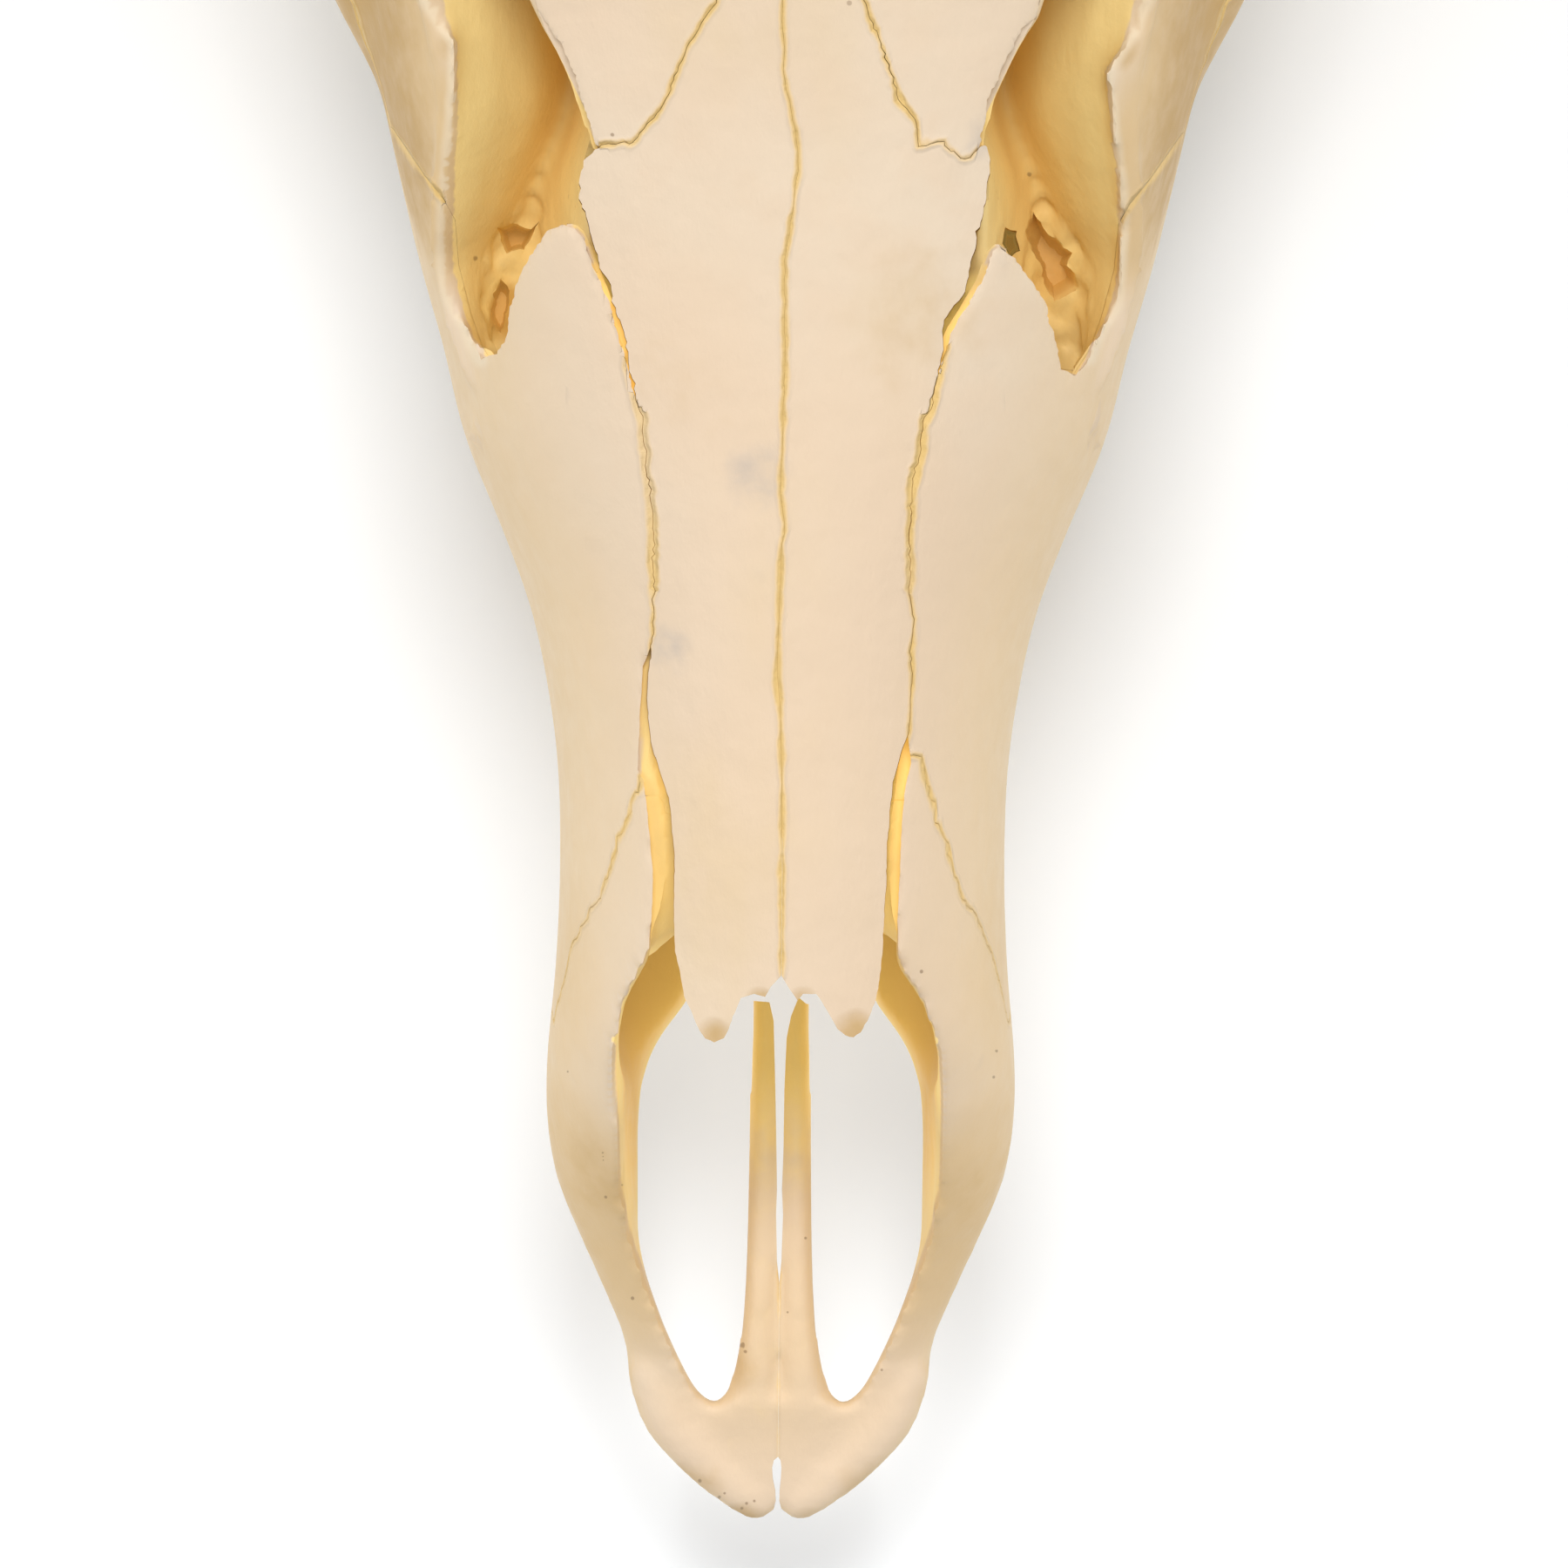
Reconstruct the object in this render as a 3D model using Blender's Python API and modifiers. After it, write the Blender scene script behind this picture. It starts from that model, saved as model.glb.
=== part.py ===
"""A white-tailed deer skull with eight-point antlers, without its lower jaw, at rest on a flat surface.

It rests on the last two molars of each side and on the tips of the jugular processes, as a bare skull does.
Every bone of the skull is one solid, kept a hair's breadth from its neighbours along the sutures.

Places are (x, s, z) in millimetres: x is to the side of the mid-plane, positive on +X, s is the distance
behind the tip of the snout, and z is the height above the surface that the skull rests on.
"""

import math
import random

import bmesh
import bpy
from mathutils import Matrix, Vector

MM = 0.001
MIDDLE = 140.9  # how far behind s = 0 the middle of the skull's length is
SUTURE_GAP = 0.34  # left between two bones, and between an antler and its pedicle
HALF_GAP = SUTURE_GAP / 2
MASS_VOXEL = 1.5
WALL_VOXEL = 1.0
ANTLER_VOXEL = 1.6
SKULL_FACES = 5300
NASAL_FACES = 520
ANTLER_FACES = 1240
SMALLEST_EDGE = 0.002
FAR = 400.0  # further out than any point of the skull or the antlers

# Sections of the face, as (s, half width, top, height of the widest place, bottom, roof power, keel power).
FACE = (
    (-1.2, 2.4, 26.4, 25.0, 23.6, 2.0, 2.0),
    (0.2, 4.6, 27.8, 25.0, 22.4, 2.0, 2.0),
    (2.4, 7.1, 28.6, 25.2, 22.0, 2.0, 2.0),
    (5.9, 10.2, 29.8, 25.8, 22.0, 2.0, 2.2),
    (9.6, 12.3, 31.2, 26.8, 22.6, 2.0, 2.4),
    (13.1, 12.8, 33.4, 28.2, 23.4, 2.0, 2.6),
    (16.8, 14.0, 36.4, 29.6, 24.2, 2.0, 2.6),
    (20.5, 15.5, 40.2, 31.0, 25.0, 2.0, 2.6),
    (24.0, 17.1, 44.6, 32.4, 25.6, 2.0, 2.6),
    (27.5, 18.3, 49.0, 33.6, 26.0, 2.0, 2.6),
    (31.0, 18.9, 53.2, 34.6, 26.4, 2.0, 2.6),
    (34.5, 19.0, 57.0, 35.6, 26.8, 2.1, 2.6),
    (38.0, 18.8, 60.4, 36.6, 27.0, 2.2, 2.6),
    (44.0, 18.2, 63.4, 38.0, 27.2, 2.2, 2.6),
    (52.0, 17.9, 65.2, 39.4, 27.4, 2.2, 2.6),
    (60.0, 18.1, 66.6, 40.0, 27.2, 2.2, 2.6),
    (66.0, 18.9, 67.7, 40.0, 26.4, 2.2, 2.6),
    (72.5, 20.3, 69.0, 39.6, 25.2, 2.2, 2.6),
    (79.5, 22.9, 70.2, 38.8, 23.4, 2.3, 2.6),
    (86.5, 25.8, 71.4, 38.0, 21.2, 2.4, 2.6),
    (93.5, 27.5, 72.6, 37.4, 19.4, 2.5, 2.8),
    (100.0, 29.4, 73.8, 37.2, 18.2, 2.5, 3.0),
    (107.0, 31.1, 75.2, 37.4, 17.4, 2.5, 3.0),
    (114.0, 32.7, 76.8, 38.0, 16.6, 2.5, 3.0),
    (121.0, 34.2, 78.6, 38.8, 15.8, 2.4, 3.0),
    (130.0, 36.8, 81.2, 41.0, 15.0, 2.3, 3.0),
    (140.0, 39.6, 84.4, 43.0, 14.2, 2.2, 3.0),
    (150.0, 41.6, 87.2, 46.0, 14.0, 2.2, 2.8),
    (158.0, 38.0, 88.0, 50.0, 16.0, 2.2, 2.4),
    (166.0, 27.0, 88.0, 54.0, 26.0, 2.2, 2.2),
)
# The roof between and behind the orbits, and the case of the brain, in the same terms.
FRONTAL_TABLE = (
    (126.0, 25.0, 80.0, 73.0, 66.0, 2.2, 2.2),
    (138.0, 33.0, 83.8, 78.0, 71.0, 2.6, 2.2),
    (150.0, 40.0, 88.0, 82.0, 75.5, 2.8, 2.2),
    (162.0, 43.0, 92.0, 85.0, 78.0, 2.8, 2.2),
    (174.0, 44.5, 95.6, 87.0, 79.0, 2.8, 2.2),
    (186.0, 44.5, 98.2, 87.0, 77.0, 2.8, 2.2),
    (197.0, 41.5, 99.8, 84.0, 68.0, 2.6, 2.2),
    (209.0, 37.5, 100.0, 79.0, 56.0, 2.4, 2.2),
    (222.0, 35.0, 96.0, 70.0, 46.0, 2.2, 2.2),
)
BRAINCASE = (
    (186.0, 17.0, 92.0, 70.0, 44.0, 2.1, 2.1),
    (196.0, 26.0, 97.0, 67.0, 37.0, 2.1, 2.1),
    (208.0, 32.0, 98.4, 64.0, 32.0, 2.1, 2.1),
    (222.0, 36.0, 95.8, 60.0, 28.5, 2.1, 2.1),
    (236.0, 38.0, 90.2, 56.0, 26.0, 2.1, 2.1),
    (248.0, 38.0, 83.6, 53.0, 25.0, 2.1, 2.1),
    (258.0, 36.5, 76.8, 50.0, 24.6, 2.2, 2.2),
    (266.0, 34.0, 70.0, 48.0, 25.0, 2.4, 2.4),
    (272.0, 30.0, 63.0, 46.0, 26.0, 2.4, 2.4),
)
STEM = (
    (140.0, 9.0, 86.0, 60.0, 40.0, 2.4, 2.4),
    (160.0, 12.5, 90.0, 62.0, 40.0, 2.4, 2.4),
    (178.0, 13.5, 92.0, 62.0, 37.5, 2.4, 2.4),
    (196.0, 18.0, 92.0, 62.0, 35.0, 2.4, 2.4),
    (214.0, 22.0, 90.0, 58.0, 31.0, 2.4, 2.4),
)
# The hollow of the nose, which shows through the nasal opening and the gap before each orbit.
NASAL_CAVITY = (
    (34.0, 12.2, 70.0, 40.0, 31.2, 2.2, 2.4),
    (44.0, 15.8, 61.0, 40.0, 31.4, 2.2, 2.2),
    (52.0, 15.6, 62.8, 41.0, 31.6, 2.2, 2.2),
    (60.0, 15.8, 64.2, 42.0, 31.6, 2.2, 2.0),
    (66.0, 16.6, 65.3, 42.0, 31.4, 2.2, 2.0),
    (72.5, 17.8, 66.6, 43.0, 31.0, 2.2, 1.9),
    (79.5, 20.0, 67.8, 44.0, 30.6, 2.3, 1.8),
    (86.5, 22.6, 69.0, 46.0, 30.4, 2.4, 1.6),
    (93.5, 24.4, 70.2, 48.0, 30.0, 2.5, 1.5),
    (100.0, 26.2, 71.4, 48.0, 29.6, 2.5, 1.5),
    (107.0, 27.8, 72.6, 48.0, 29.4, 2.5, 1.5),
    (114.0, 29.0, 73.6, 48.0, 29.4, 2.5, 1.5),
    (121.0, 29.6, 74.6, 49.0, 30.0, 2.4, 1.5),
    (128.0, 27.6, 75.0, 51.0, 32.0, 2.3, 1.7),
    (135.0, 20.0, 73.0, 54.0, 38.0, 2.2, 2.0),
)
CAVITY_END = 131.0

# Half widths seen from above, as (s, x).
NASAL_EDGE = (
    (44.8, 7.9), (48.3, 8.35), (51.7, 8.65), (55.2, 8.9), (58.7, 9.5), (62.2, 10.2), (66.0, 10.45),
    (72.6, 10.3), (79.5, 10.45), (83.0, 10.6), (86.5, 11.1), (90.0, 11.9), (93.4, 12.7), (97.0, 13.7),
    (100.3, 14.8), (104.5, 16.2), (107.5, 16.3), (109.6, 15.4),
)
NASAL_TIP = ((7.9, 42.2), (7.1, 40.6), (6.2, 38.6), (5.4, 37.9), (4.6, 38.8), (3.9, 40.4), (3.0, 41.8),
             (1.3, 41.9), (0.6, 42.6))
NASOFRONTAL = ((15.4, 109.6), (13.8, 108.7), (11.6, 110.0), (9.4, 113.2), (7.8, 116.8), (6.0, 120.8),
               (3.6, 126.4), (1.2, 131.6))
RIM_EDGE = (
    (13.0, 8.2), (17.0, 10.4), (20.5, 12.0), (24.0, 13.1), (27.5, 13.6), (31.0, 13.7), (34.5, 13.5),
    (37.8, 13.0), (41.3, 12.0), (44.3, 10.6), (48.3, 10.3), (55.2, 10.6), (58.7, 10.8), (61.0, 10.6),
)
FISSURE_EDGE = (
    (10.0, 4.6), (10.8, 6.6), (13.5, 8.5), (17.0, 10.1), (20.5, 11.2), (24.0, 11.6), (31.0, 11.5),
    (34.5, 11.0), (37.8, 9.9), (41.3, 8.6), (46.0, 7.4), (50.0, 5.2),
)
VACUITY = (
    (12.9, 92.2), (13.9, 95.6), (14.9, 98.6), (15.8, 101.4), (17.2, 103.0), (19.0, 101.8), (20.8, 99.2),
    (21.8, 96.6), (22.3, 94.2), (23.4, 92.2), (24.6, 93.4), (26.0, 96.0), (26.8, 100.0), (26.8, 106.0),
    (26.4, 112.0), (26.2, 118.0), (27.6, 121.5), (28.4, 126.0), (26.4, 130.0), (23.6, 128.0),
    (20.2, 120.5), (18.0, 117.0), (16.4, 112.8), (15.4, 109.7), (16.6, 107.4), (16.6, 104.4),
    (15.2, 100.6), (14.1, 97.0), (13.1, 93.6),
)

# Side views of where one bone ends, as (s, z).
PREMAXILLA_SIDE = ((-9.0, -20.0), (-9.0, 90.0), (61.4, 90.0), (61.2, 62.4), (56.2, 60.0), (49.9, 55.6),
                   (45.6, 49.0), (43.1, 46.4), (39.7, 42.6), (38.6, 36.0), (40.4, 31.0), (44.0, -20.0))
LACRIMAL_SIDE = ((92.4, 56.6), (97.0, 53.6), (104.0, 51.6), (112.0, 50.8), (122.0, 50.0), (136.0, 51.6),
                 (152.0, 55.0), (166.0, 56.0), (166.0, 74.0), (152.0, 77.6), (131.0, 74.0), (122.0, 68.0),
                 (106.0, 66.0), (98.0, 60.6))
FRONTAL_SIDE = ((105.6, 140.0), (105.6, 65.0), (122.0, 66.0), (131.0, 71.0), (152.0, 74.6), (164.0, 71.0),
                (178.0, 67.0), (199.0, 66.5), (214.0, 68.0), (226.0, 74.0), (227.0, 90.0),
                (244.0, 106.0), (244.0, 140.0))
ZYGOMATIC_SIDE = ((120.0, 53.0), (124.5, 42.0), (131.0, 37.0), (143.0, 34.0), (152.0, 38.0), (158.0, 38.0),
                  (196.0, 36.0), (214.0, 45.6), (202.0, 56.0), (200.0, 70.0), (170.0, 72.0), (160.0, 60.0),
                  (136.0, 55.0))
OCCIPITAL_SIDE = ((300.0, 130.0), (269.0, 130.0), (267.0, 72.0), (262.0, 58.0), (255.0, 46.0),
                  (252.0, 36.0), (250.0, -20.0), (300.0, -20.0))
PARIETAL_SIDE = ((240.0, 108.0), (222.0, 92.0), (221.0, 72.0), (232.0, 64.0), (246.0, 58.0), (264.0, 57.0),
                 (271.0, 72.0), (273.0, 108.0))
MAXILLA_SIDE = ((20.0, -20.0), (20.0, 100.0), (124.0, 100.0), (142.0, 60.0), (160.0, 50.0), (170.0, 40.0),
                (173.0, -20.0))
# Regions seen from above, as (x, s), on the right side.
PALATINE_TOP = ((0.0, 146.0), (13.6, 148.0), (16.4, 157.0), (17.6, 166.0), (17.6, 173.4), (0.0, 173.4))
PALATINE_HEIGHT = 44.0
TEMPORAL_TOP = ((31.0, 190.0), (26.0, 203.0), (18.4, 211.0), (18.4, 226.0), (12.0, 231.0), (12.0, 270.0),
                (80.0, 270.0), (80.0, 190.0))
VOMER_TOP = ((-4.0, 64.0), (4.0, 64.0), (4.0, 142.0), (-4.0, 142.0))
VOMER_FOOT = 33.0
VOMER_SIDE = ((62.0, 28.0), (150.0, 28.0), (150.0, 54.0), (120.0, 50.0), (66.0, 37.0))  # as (s, z)
VOMER_HALF = 1.3

# The right orbit's rim: a ring whose open side looks outwards, a little forwards and a little up.
ORBIT_CENTRE = (47.4, 170.0, 67.0)
ORBIT_TURN = 19.0  # degrees that the open side is turned forwards
ORBIT_TILT = 9.0  # degrees that it is turned up
ORBIT_LENGTH = 20.6
ORBIT_HEIGHT = 19.6
RIM_RADIUS = 3.3
# The hollow of the eye, as (height over the plane of the rim, share of the rim's width).
SOCKET = ((16.0, 1.0), (6.0, 0.97), (0.0, 0.9), (-8.0, 0.86), (-16.0, 0.74), (-23.0, 0.55), (-28.0, 0.3))

# The upper cheek teeth of one side, three premolars and three molars from front to back, as
# (s, x, length, width, lowest point above the surface).
TEETH = (
    (93.6, 19.4, 9.6, 8.6, 6.0),
    (103.4, 21.4, 9.6, 10.4, 4.8),
    (113.0, 23.4, 9.2, 12.2, 3.6),
    (124.4, 25.2, 13.2, 13.6, 1.6),
    (139.0, 26.2, 15.0, 14.6, 0.0),
    (154.2, 25.4, 15.0, 14.0, 0.0),
)
TOOTH_ROOT_TOP = 24.0
TOOTH_SPACE = 0.7
# A tooth seen from below, as (outwards, backwards) in halves of its width and length.
MOLAR_OUTLINE = ((0.55, -1.0), (0.95, -0.85), (1.0, -0.5), (0.78, -0.05), (1.0, 0.4), (0.95, 0.85),
                 (0.55, 1.0), (-0.5, 0.98), (-0.95, 0.78), (-0.98, 0.42), (-0.62, 0.0), (-0.98, -0.48),
                 (-0.9, -0.85), (-0.45, -1.0))
PREMOLAR_OUTLINE = ((0.5, -1.0), (0.95, -0.7), (1.0, 0.05), (0.95, 0.7), (0.5, 1.0), (-0.4, 1.0),
                    (-0.9, 0.6), (-1.0, 0.0), (-0.9, -0.6), (-0.4, -1.0))

PEDICLE = ((24.6, 205.0, 82.0, 19.0), (28.2, 212.6, 94.0, 16.4), (31.4, 218.4, 102.6, 14.6),
           (34.0, 223.0, 110.0, 14.4), (37.0, 228.0, 118.0, 14.4))

# The right antler: beam and tines as (x, s, z, radius).
BEAM = (
    (27.0, 211.0, 92.0, 14.5), (30.5, 217.0, 101.0, 14.2), (34.0, 223.0, 110.0, 14.6),
    (38.5, 230.0, 121.0, 15.8), (46.0, 238.5, 139.0, 15.6), (62.0, 249.0, 165.0, 14.6),
    (84.0, 256.0, 193.0, 14.2), (112.0, 257.0, 220.0, 14.4), (142.0, 247.0, 242.0, 13.6),
    (170.0, 226.0, 257.0, 12.8), (191.0, 197.0, 267.0, 12.2), (203.0, 163.0, 274.0, 10.8),
    (205.0, 126.0, 281.0, 9.4), (197.0, 90.0, 290.0, 7.8), (181.0, 57.0, 301.0, 5.8),
    (160.0, 31.0, 314.0, 3.6), (148.0, 19.0, 322.0, 1.3),
)
BROW_TINE = ((45.0, 236.0, 138.0, 10.5), (47.0, 221.0, 162.0, 8.6), (46.0, 210.5, 184.0, 6.8),
             (42.0, 204.0, 206.0, 4.8), (38.0, 202.0, 228.0, 1.3))
SECOND_TINE = ((112.0, 257.0, 220.0, 12.0), (119.0, 259.0, 258.0, 10.2), (122.0, 257.0, 280.0, 9.0),
               (121.0, 250.0, 310.0, 7.4), (117.0, 241.0, 344.0, 5.4), (112.0, 233.0, 372.0, 3.2),
               (110.0, 229.0, 384.0, 1.3))
THIRD_TINE = ((190.0, 198.0, 267.0, 10.4), (197.0, 198.0, 292.0, 8.8), (201.0, 193.0, 314.0, 7.2),
              (200.0, 184.0, 342.0, 5.2), (196.0, 176.0, 366.0, 3.0), (194.0, 173.0, 376.0, 1.3))
BURR_CENTRE = (35.4, 225.0, 113.6)
BURR_NORMAL = (0.36, 0.50, 0.79)
BURR_RADIUS = 18.6
BURR_KNOBS = 11
BURR_SEED = 5
ANTLER_FOOT = -5.0  # where the antler leaves the pedicle, below the middle of the burr
TINE_MARGIN = 2.0
BEAM_MARGIN = 24.0

BONE_COLOUR = (0.83, 0.70, 0.52, 1.0)
ANTLER_COLOUR = (0.34, 0.21, 0.11, 1.0)


def at(x, s, z):
    """The point in metres, with the origin under the middle of the skull's length."""
    return Vector((x, s - MIDDLE, z)) * MM


def clear_scene():
    """Removes what the file starts with."""
    for obj in list(bpy.data.objects):
        bpy.data.objects.remove(obj)


def material(name, colour, roughness):
    """A Principled material of one colour."""
    made = bpy.data.materials.new(name)
    made.use_nodes = True
    shader = made.node_tree.nodes["Principled BSDF"]
    shader.inputs["Base Color"].default_value = colour
    shader.inputs["Roughness"].default_value = roughness
    shader.inputs["Metallic"].default_value = 0.0
    return made


def spline(stations, pitch):
    """Rows of numbers about pitch apart along a smooth curve through the stations, both ends included."""
    rows = [tuple(float(value) for value in row) for row in stations]
    padded = [rows[0], *rows, rows[-1]]
    made = []
    for before, start, end, after in zip(padded, padded[1:], padded[2:], padded[3:]):
        span = math.dist(start[:3], end[:3])
        steps = max(1, round(span / pitch))
        for step in range(steps):
            t = step / steps
            weights = (
                -0.5 * t + t * t - 0.5 * t**3,
                1 - 2.5 * t * t + 1.5 * t**3,
                0.5 * t + 2 * t * t - 1.5 * t**3,
                -0.5 * t * t + 0.5 * t**3,
            )
            quad = (before, start, end, after)
            made.append(tuple(
                sum(w * row[i] for w, row in zip(weights, quad)) for i in range(len(start))
            ))
    made.append(rows[-1])
    return made


def value_at(pairs, s):
    """The height of a broken line of (s, value) pairs at s."""
    if s <= pairs[0][0]:
        return pairs[0][1]
    for (s0, v0), (s1, v1) in zip(pairs, pairs[1:]):
        if s <= s1:
            return v0 + (v1 - v0) * (s - s0) / (s1 - s0)
    return pairs[-1][1]


def new_object(name, mesh):
    """An object that holds the mesh, linked to the scene."""
    obj = bpy.data.objects.new(name, mesh)
    bpy.context.scene.collection.objects.link(obj)
    return obj


def object_from(name, bm):
    """An object made from a bmesh, with its faces turned outwards."""
    bmesh.ops.recalc_face_normals(bm, faces=bm.faces)
    if bm.calc_volume(signed=True) < 0:
        bmesh.ops.reverse_faces(bm, faces=bm.faces)
    mesh = bpy.data.meshes.new(name)
    bm.to_mesh(mesh)
    bm.free()
    return new_object(name, mesh)


def loft(name, rings):
    """A closed solid through rings that hold the same number of points."""
    bm = bmesh.new()
    rows = [[bm.verts.new(point) for point in ring] for ring in rings]
    count = len(rows[0])
    for first, second in zip(rows, rows[1:]):
        for i in range(count):
            j = (i + 1) % count
            bm.faces.new((first[i], first[j], second[j], second[i]))
    bm.faces.new(rows[0])
    bm.faces.new(rows[-1])
    return object_from(name, bm)


def section(s, half_width, top, widest, bottom, roof, keel, count=32):
    """A ring across the skull at s, half of it a rounded roof and half a rounded keel."""
    ring = []
    for i in range(count):
        angle = math.tau * i / count
        across, up = math.cos(angle), math.sin(angle)
        power = roof if up >= 0 else keel
        height = top - widest if up >= 0 else widest - bottom
        ring.append(at(
            half_width * math.copysign(abs(across) ** (2 / power), across),
            s,
            widest + height * math.copysign(abs(up) ** (2 / power), up),
        ))
    return ring


def body_of_sections(name, stations, pitch=3.0):
    """A solid lofted through the stations of a table such as FACE."""
    return loft(name, [section(*row) for row in spline(stations, pitch)])


def sweep(name, stations, pitch=4.0, count=14, upright=(0.0, 0.0, 1.0)):
    """A solid along stations of (x, s, z, half thickness, half height), its height kept near upright."""
    rows = spline([row if len(row) > 4 else (*row, row[3]) for row in stations], pitch)
    places = [at(*row[:3]) for row in rows]
    rings = []
    for i, row in enumerate(rows):
        along = (places[min(i + 1, len(rows) - 1)] - places[max(i - 1, 0)]).normalized()
        side = along.cross(Vector(upright)).normalized()
        lift = side.cross(along).normalized()
        rings.append([
            places[i] + (side * row[3] * math.cos(angle) + lift * row[4] * math.sin(angle)) * MM
            for angle in (math.tau * j / count for j in range(count))
        ])
    return loft(name, rings)


def ellipsoid(name, centre, radii, turn=(0.0, 0.0, 0.0)):
    """A sphere primitive drawn out to three radii, then turned by degrees about x, y and z."""
    bm = bmesh.new()
    bmesh.ops.create_uvsphere(bm, u_segments=24, v_segments=14, radius=1.0)
    obj = object_from(name, bm)
    shape = Matrix.Diagonal((*(radius * MM for radius in radii), 1.0))
    spin = Matrix.Identity(4)
    for angle, axis in zip(turn, "XYZ"):
        spin = Matrix.Rotation(math.radians(angle), 4, axis) @ spin
    obj.data.transform(Matrix.Translation(at(*centre)) @ spin @ shape)
    return obj


def prism(name, outline, axis, low, high):
    """A flat outline drawn out from low to high, of (x, s) points along z or (s, z) points along x."""
    bm = bmesh.new()
    ends = []
    for level in (low, high):
        if axis == "z":
            ends.append([bm.verts.new(at(x, s, level)) for x, s in outline])
        else:
            ends.append([bm.verts.new(at(level, s, z)) for s, z in outline])
    count = len(outline)
    for i in range(count):
        j = (i + 1) % count
        bm.faces.new((ends[0][i], ends[0][j], ends[1][j], ends[1][i]))
    bm.faces.new(ends[0])
    bm.faces.new(ends[1])
    bmesh.ops.triangulate(bm, faces=bm.faces)
    return object_from(name, bm)


def grown(outline, distance):
    """The outline moved outwards by a distance."""
    area = sum(a[0] * b[1] - b[0] * a[1] for a, b in zip(outline, outline[1:] + outline[:1]))
    turn = 1.0 if area > 0 else -1.0
    moved = []
    for before, here, after in zip(outline[-1:] + outline[:-1], outline, outline[1:] + outline[:1]):
        normals = []
        for start, end in ((before, here), (here, after)):
            dx, dy = end[0] - start[0], end[1] - start[1]
            length = math.hypot(dx, dy)
            normals.append((turn * dy / length, -turn * dx / length))
        nx, ny = normals[0][0] + normals[1][0], normals[0][1] + normals[1][1]
        stretch = 2.0 / max(nx * nx + ny * ny, 0.8)
        moved.append((here[0] + nx * stretch * distance, here[1] + ny * stretch * distance))
    return tuple(moved)


def copy_of(obj, name):
    """A copy of an object with its own mesh."""
    twin = obj.copy()
    twin.data = obj.data.copy()
    twin.name = name
    bpy.context.scene.collection.objects.link(twin)
    return twin


def mirrored(obj, name):
    """A copy reflected in the mid-plane, with its faces still turned outwards."""
    twin = copy_of(obj, name)
    twin.data.transform(Matrix.Scale(-1.0, 4, (1.0, 0.0, 0.0)))
    twin.data.flip_normals()
    return twin


def with_mirror(obj):
    """The object and its reflection, as a list."""
    return [obj, mirrored(obj, obj.name + "_mirror")]


def applied(obj):
    """Makes the object's modifiers part of its mesh."""
    graph = bpy.context.evaluated_depsgraph_get()
    mesh = bpy.data.meshes.new_from_object(obj.evaluated_get(graph))
    obj.modifiers.clear()
    obj.data = mesh
    return obj


def joined(name, objects):
    """One object that holds every mesh, still as separate shells."""
    bm = bmesh.new()
    for obj in objects:
        bm.from_mesh(obj.data)
        bpy.data.objects.remove(obj)
    mesh = bpy.data.meshes.new(name)
    bm.to_mesh(mesh)
    bm.free()
    return new_object(name, mesh)


def fused(name, objects, voxel, smoothing):
    """Overlapping shells grown into one skin of even cells, and smoothed."""
    obj = joined(name, objects)
    remesh = obj.modifiers.new("fuse", "REMESH")
    remesh.mode = "VOXEL"
    remesh.voxel_size = voxel * MM
    if smoothing:
        smooth = obj.modifiers.new("smooth", "SMOOTH")
        smooth.factor = 0.5
        smooth.iterations = smoothing
    return applied(obj)


def thinned(obj, faces):
    """The object with its skin cut down to about that many triangles."""
    triangles = sum(len(face.vertices) - 2 for face in obj.data.polygons)
    decimate = obj.modifiers.new("thin", "DECIMATE")
    decimate.ratio = min(1.0, faces / triangles)
    return applied(obj)


def boolean(obj, tools, operation):
    """Cuts, keeps or joins with each tool in turn, and removes the tools."""
    for tool in tools:
        modifier = obj.modifiers.new(operation, "BOOLEAN")
        modifier.operation = operation
        modifier.solver = "MANIFOLD"
        modifier.object = tool
        applied(obj)
        bpy.data.objects.remove(tool)
    return obj


def shell_volume(faces):
    """The volume inside a closed set of faces."""
    return sum(
        face.verts[0].co.dot(face.verts[i].co.cross(face.verts[i + 1].co))
        for face in faces
        for i in range(1, len(face.verts) - 1)
    ) / 6.0


def largest_shell(obj):
    """Leaves only the closed surface that holds the most."""
    bm = bmesh.new()
    bm.from_mesh(obj.data)
    bmesh.ops.triangulate(bm, faces=bm.faces)
    left = set(bm.faces)
    shells = []
    while left:
        stack = [left.pop()]
        shell = list(stack)
        while stack:
            for edge in stack.pop().edges:
                for face in edge.link_faces:
                    if face in left:
                        left.discard(face)
                        stack.append(face)
                        shell.append(face)
        shells.append(shell)
    shells.sort(key=shell_volume)
    scraps = [face for shell in shells[:-1] for face in shell]
    bmesh.ops.delete(bm, geom=scraps, context="FACES")
    bmesh.ops.dissolve_degenerate(bm, dist=SMALLEST_EDGE * MM, edges=bm.edges)
    bmesh.ops.triangulate(bm, faces=bm.faces)
    bm.to_mesh(obj.data)
    bm.free()
    return obj


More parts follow.
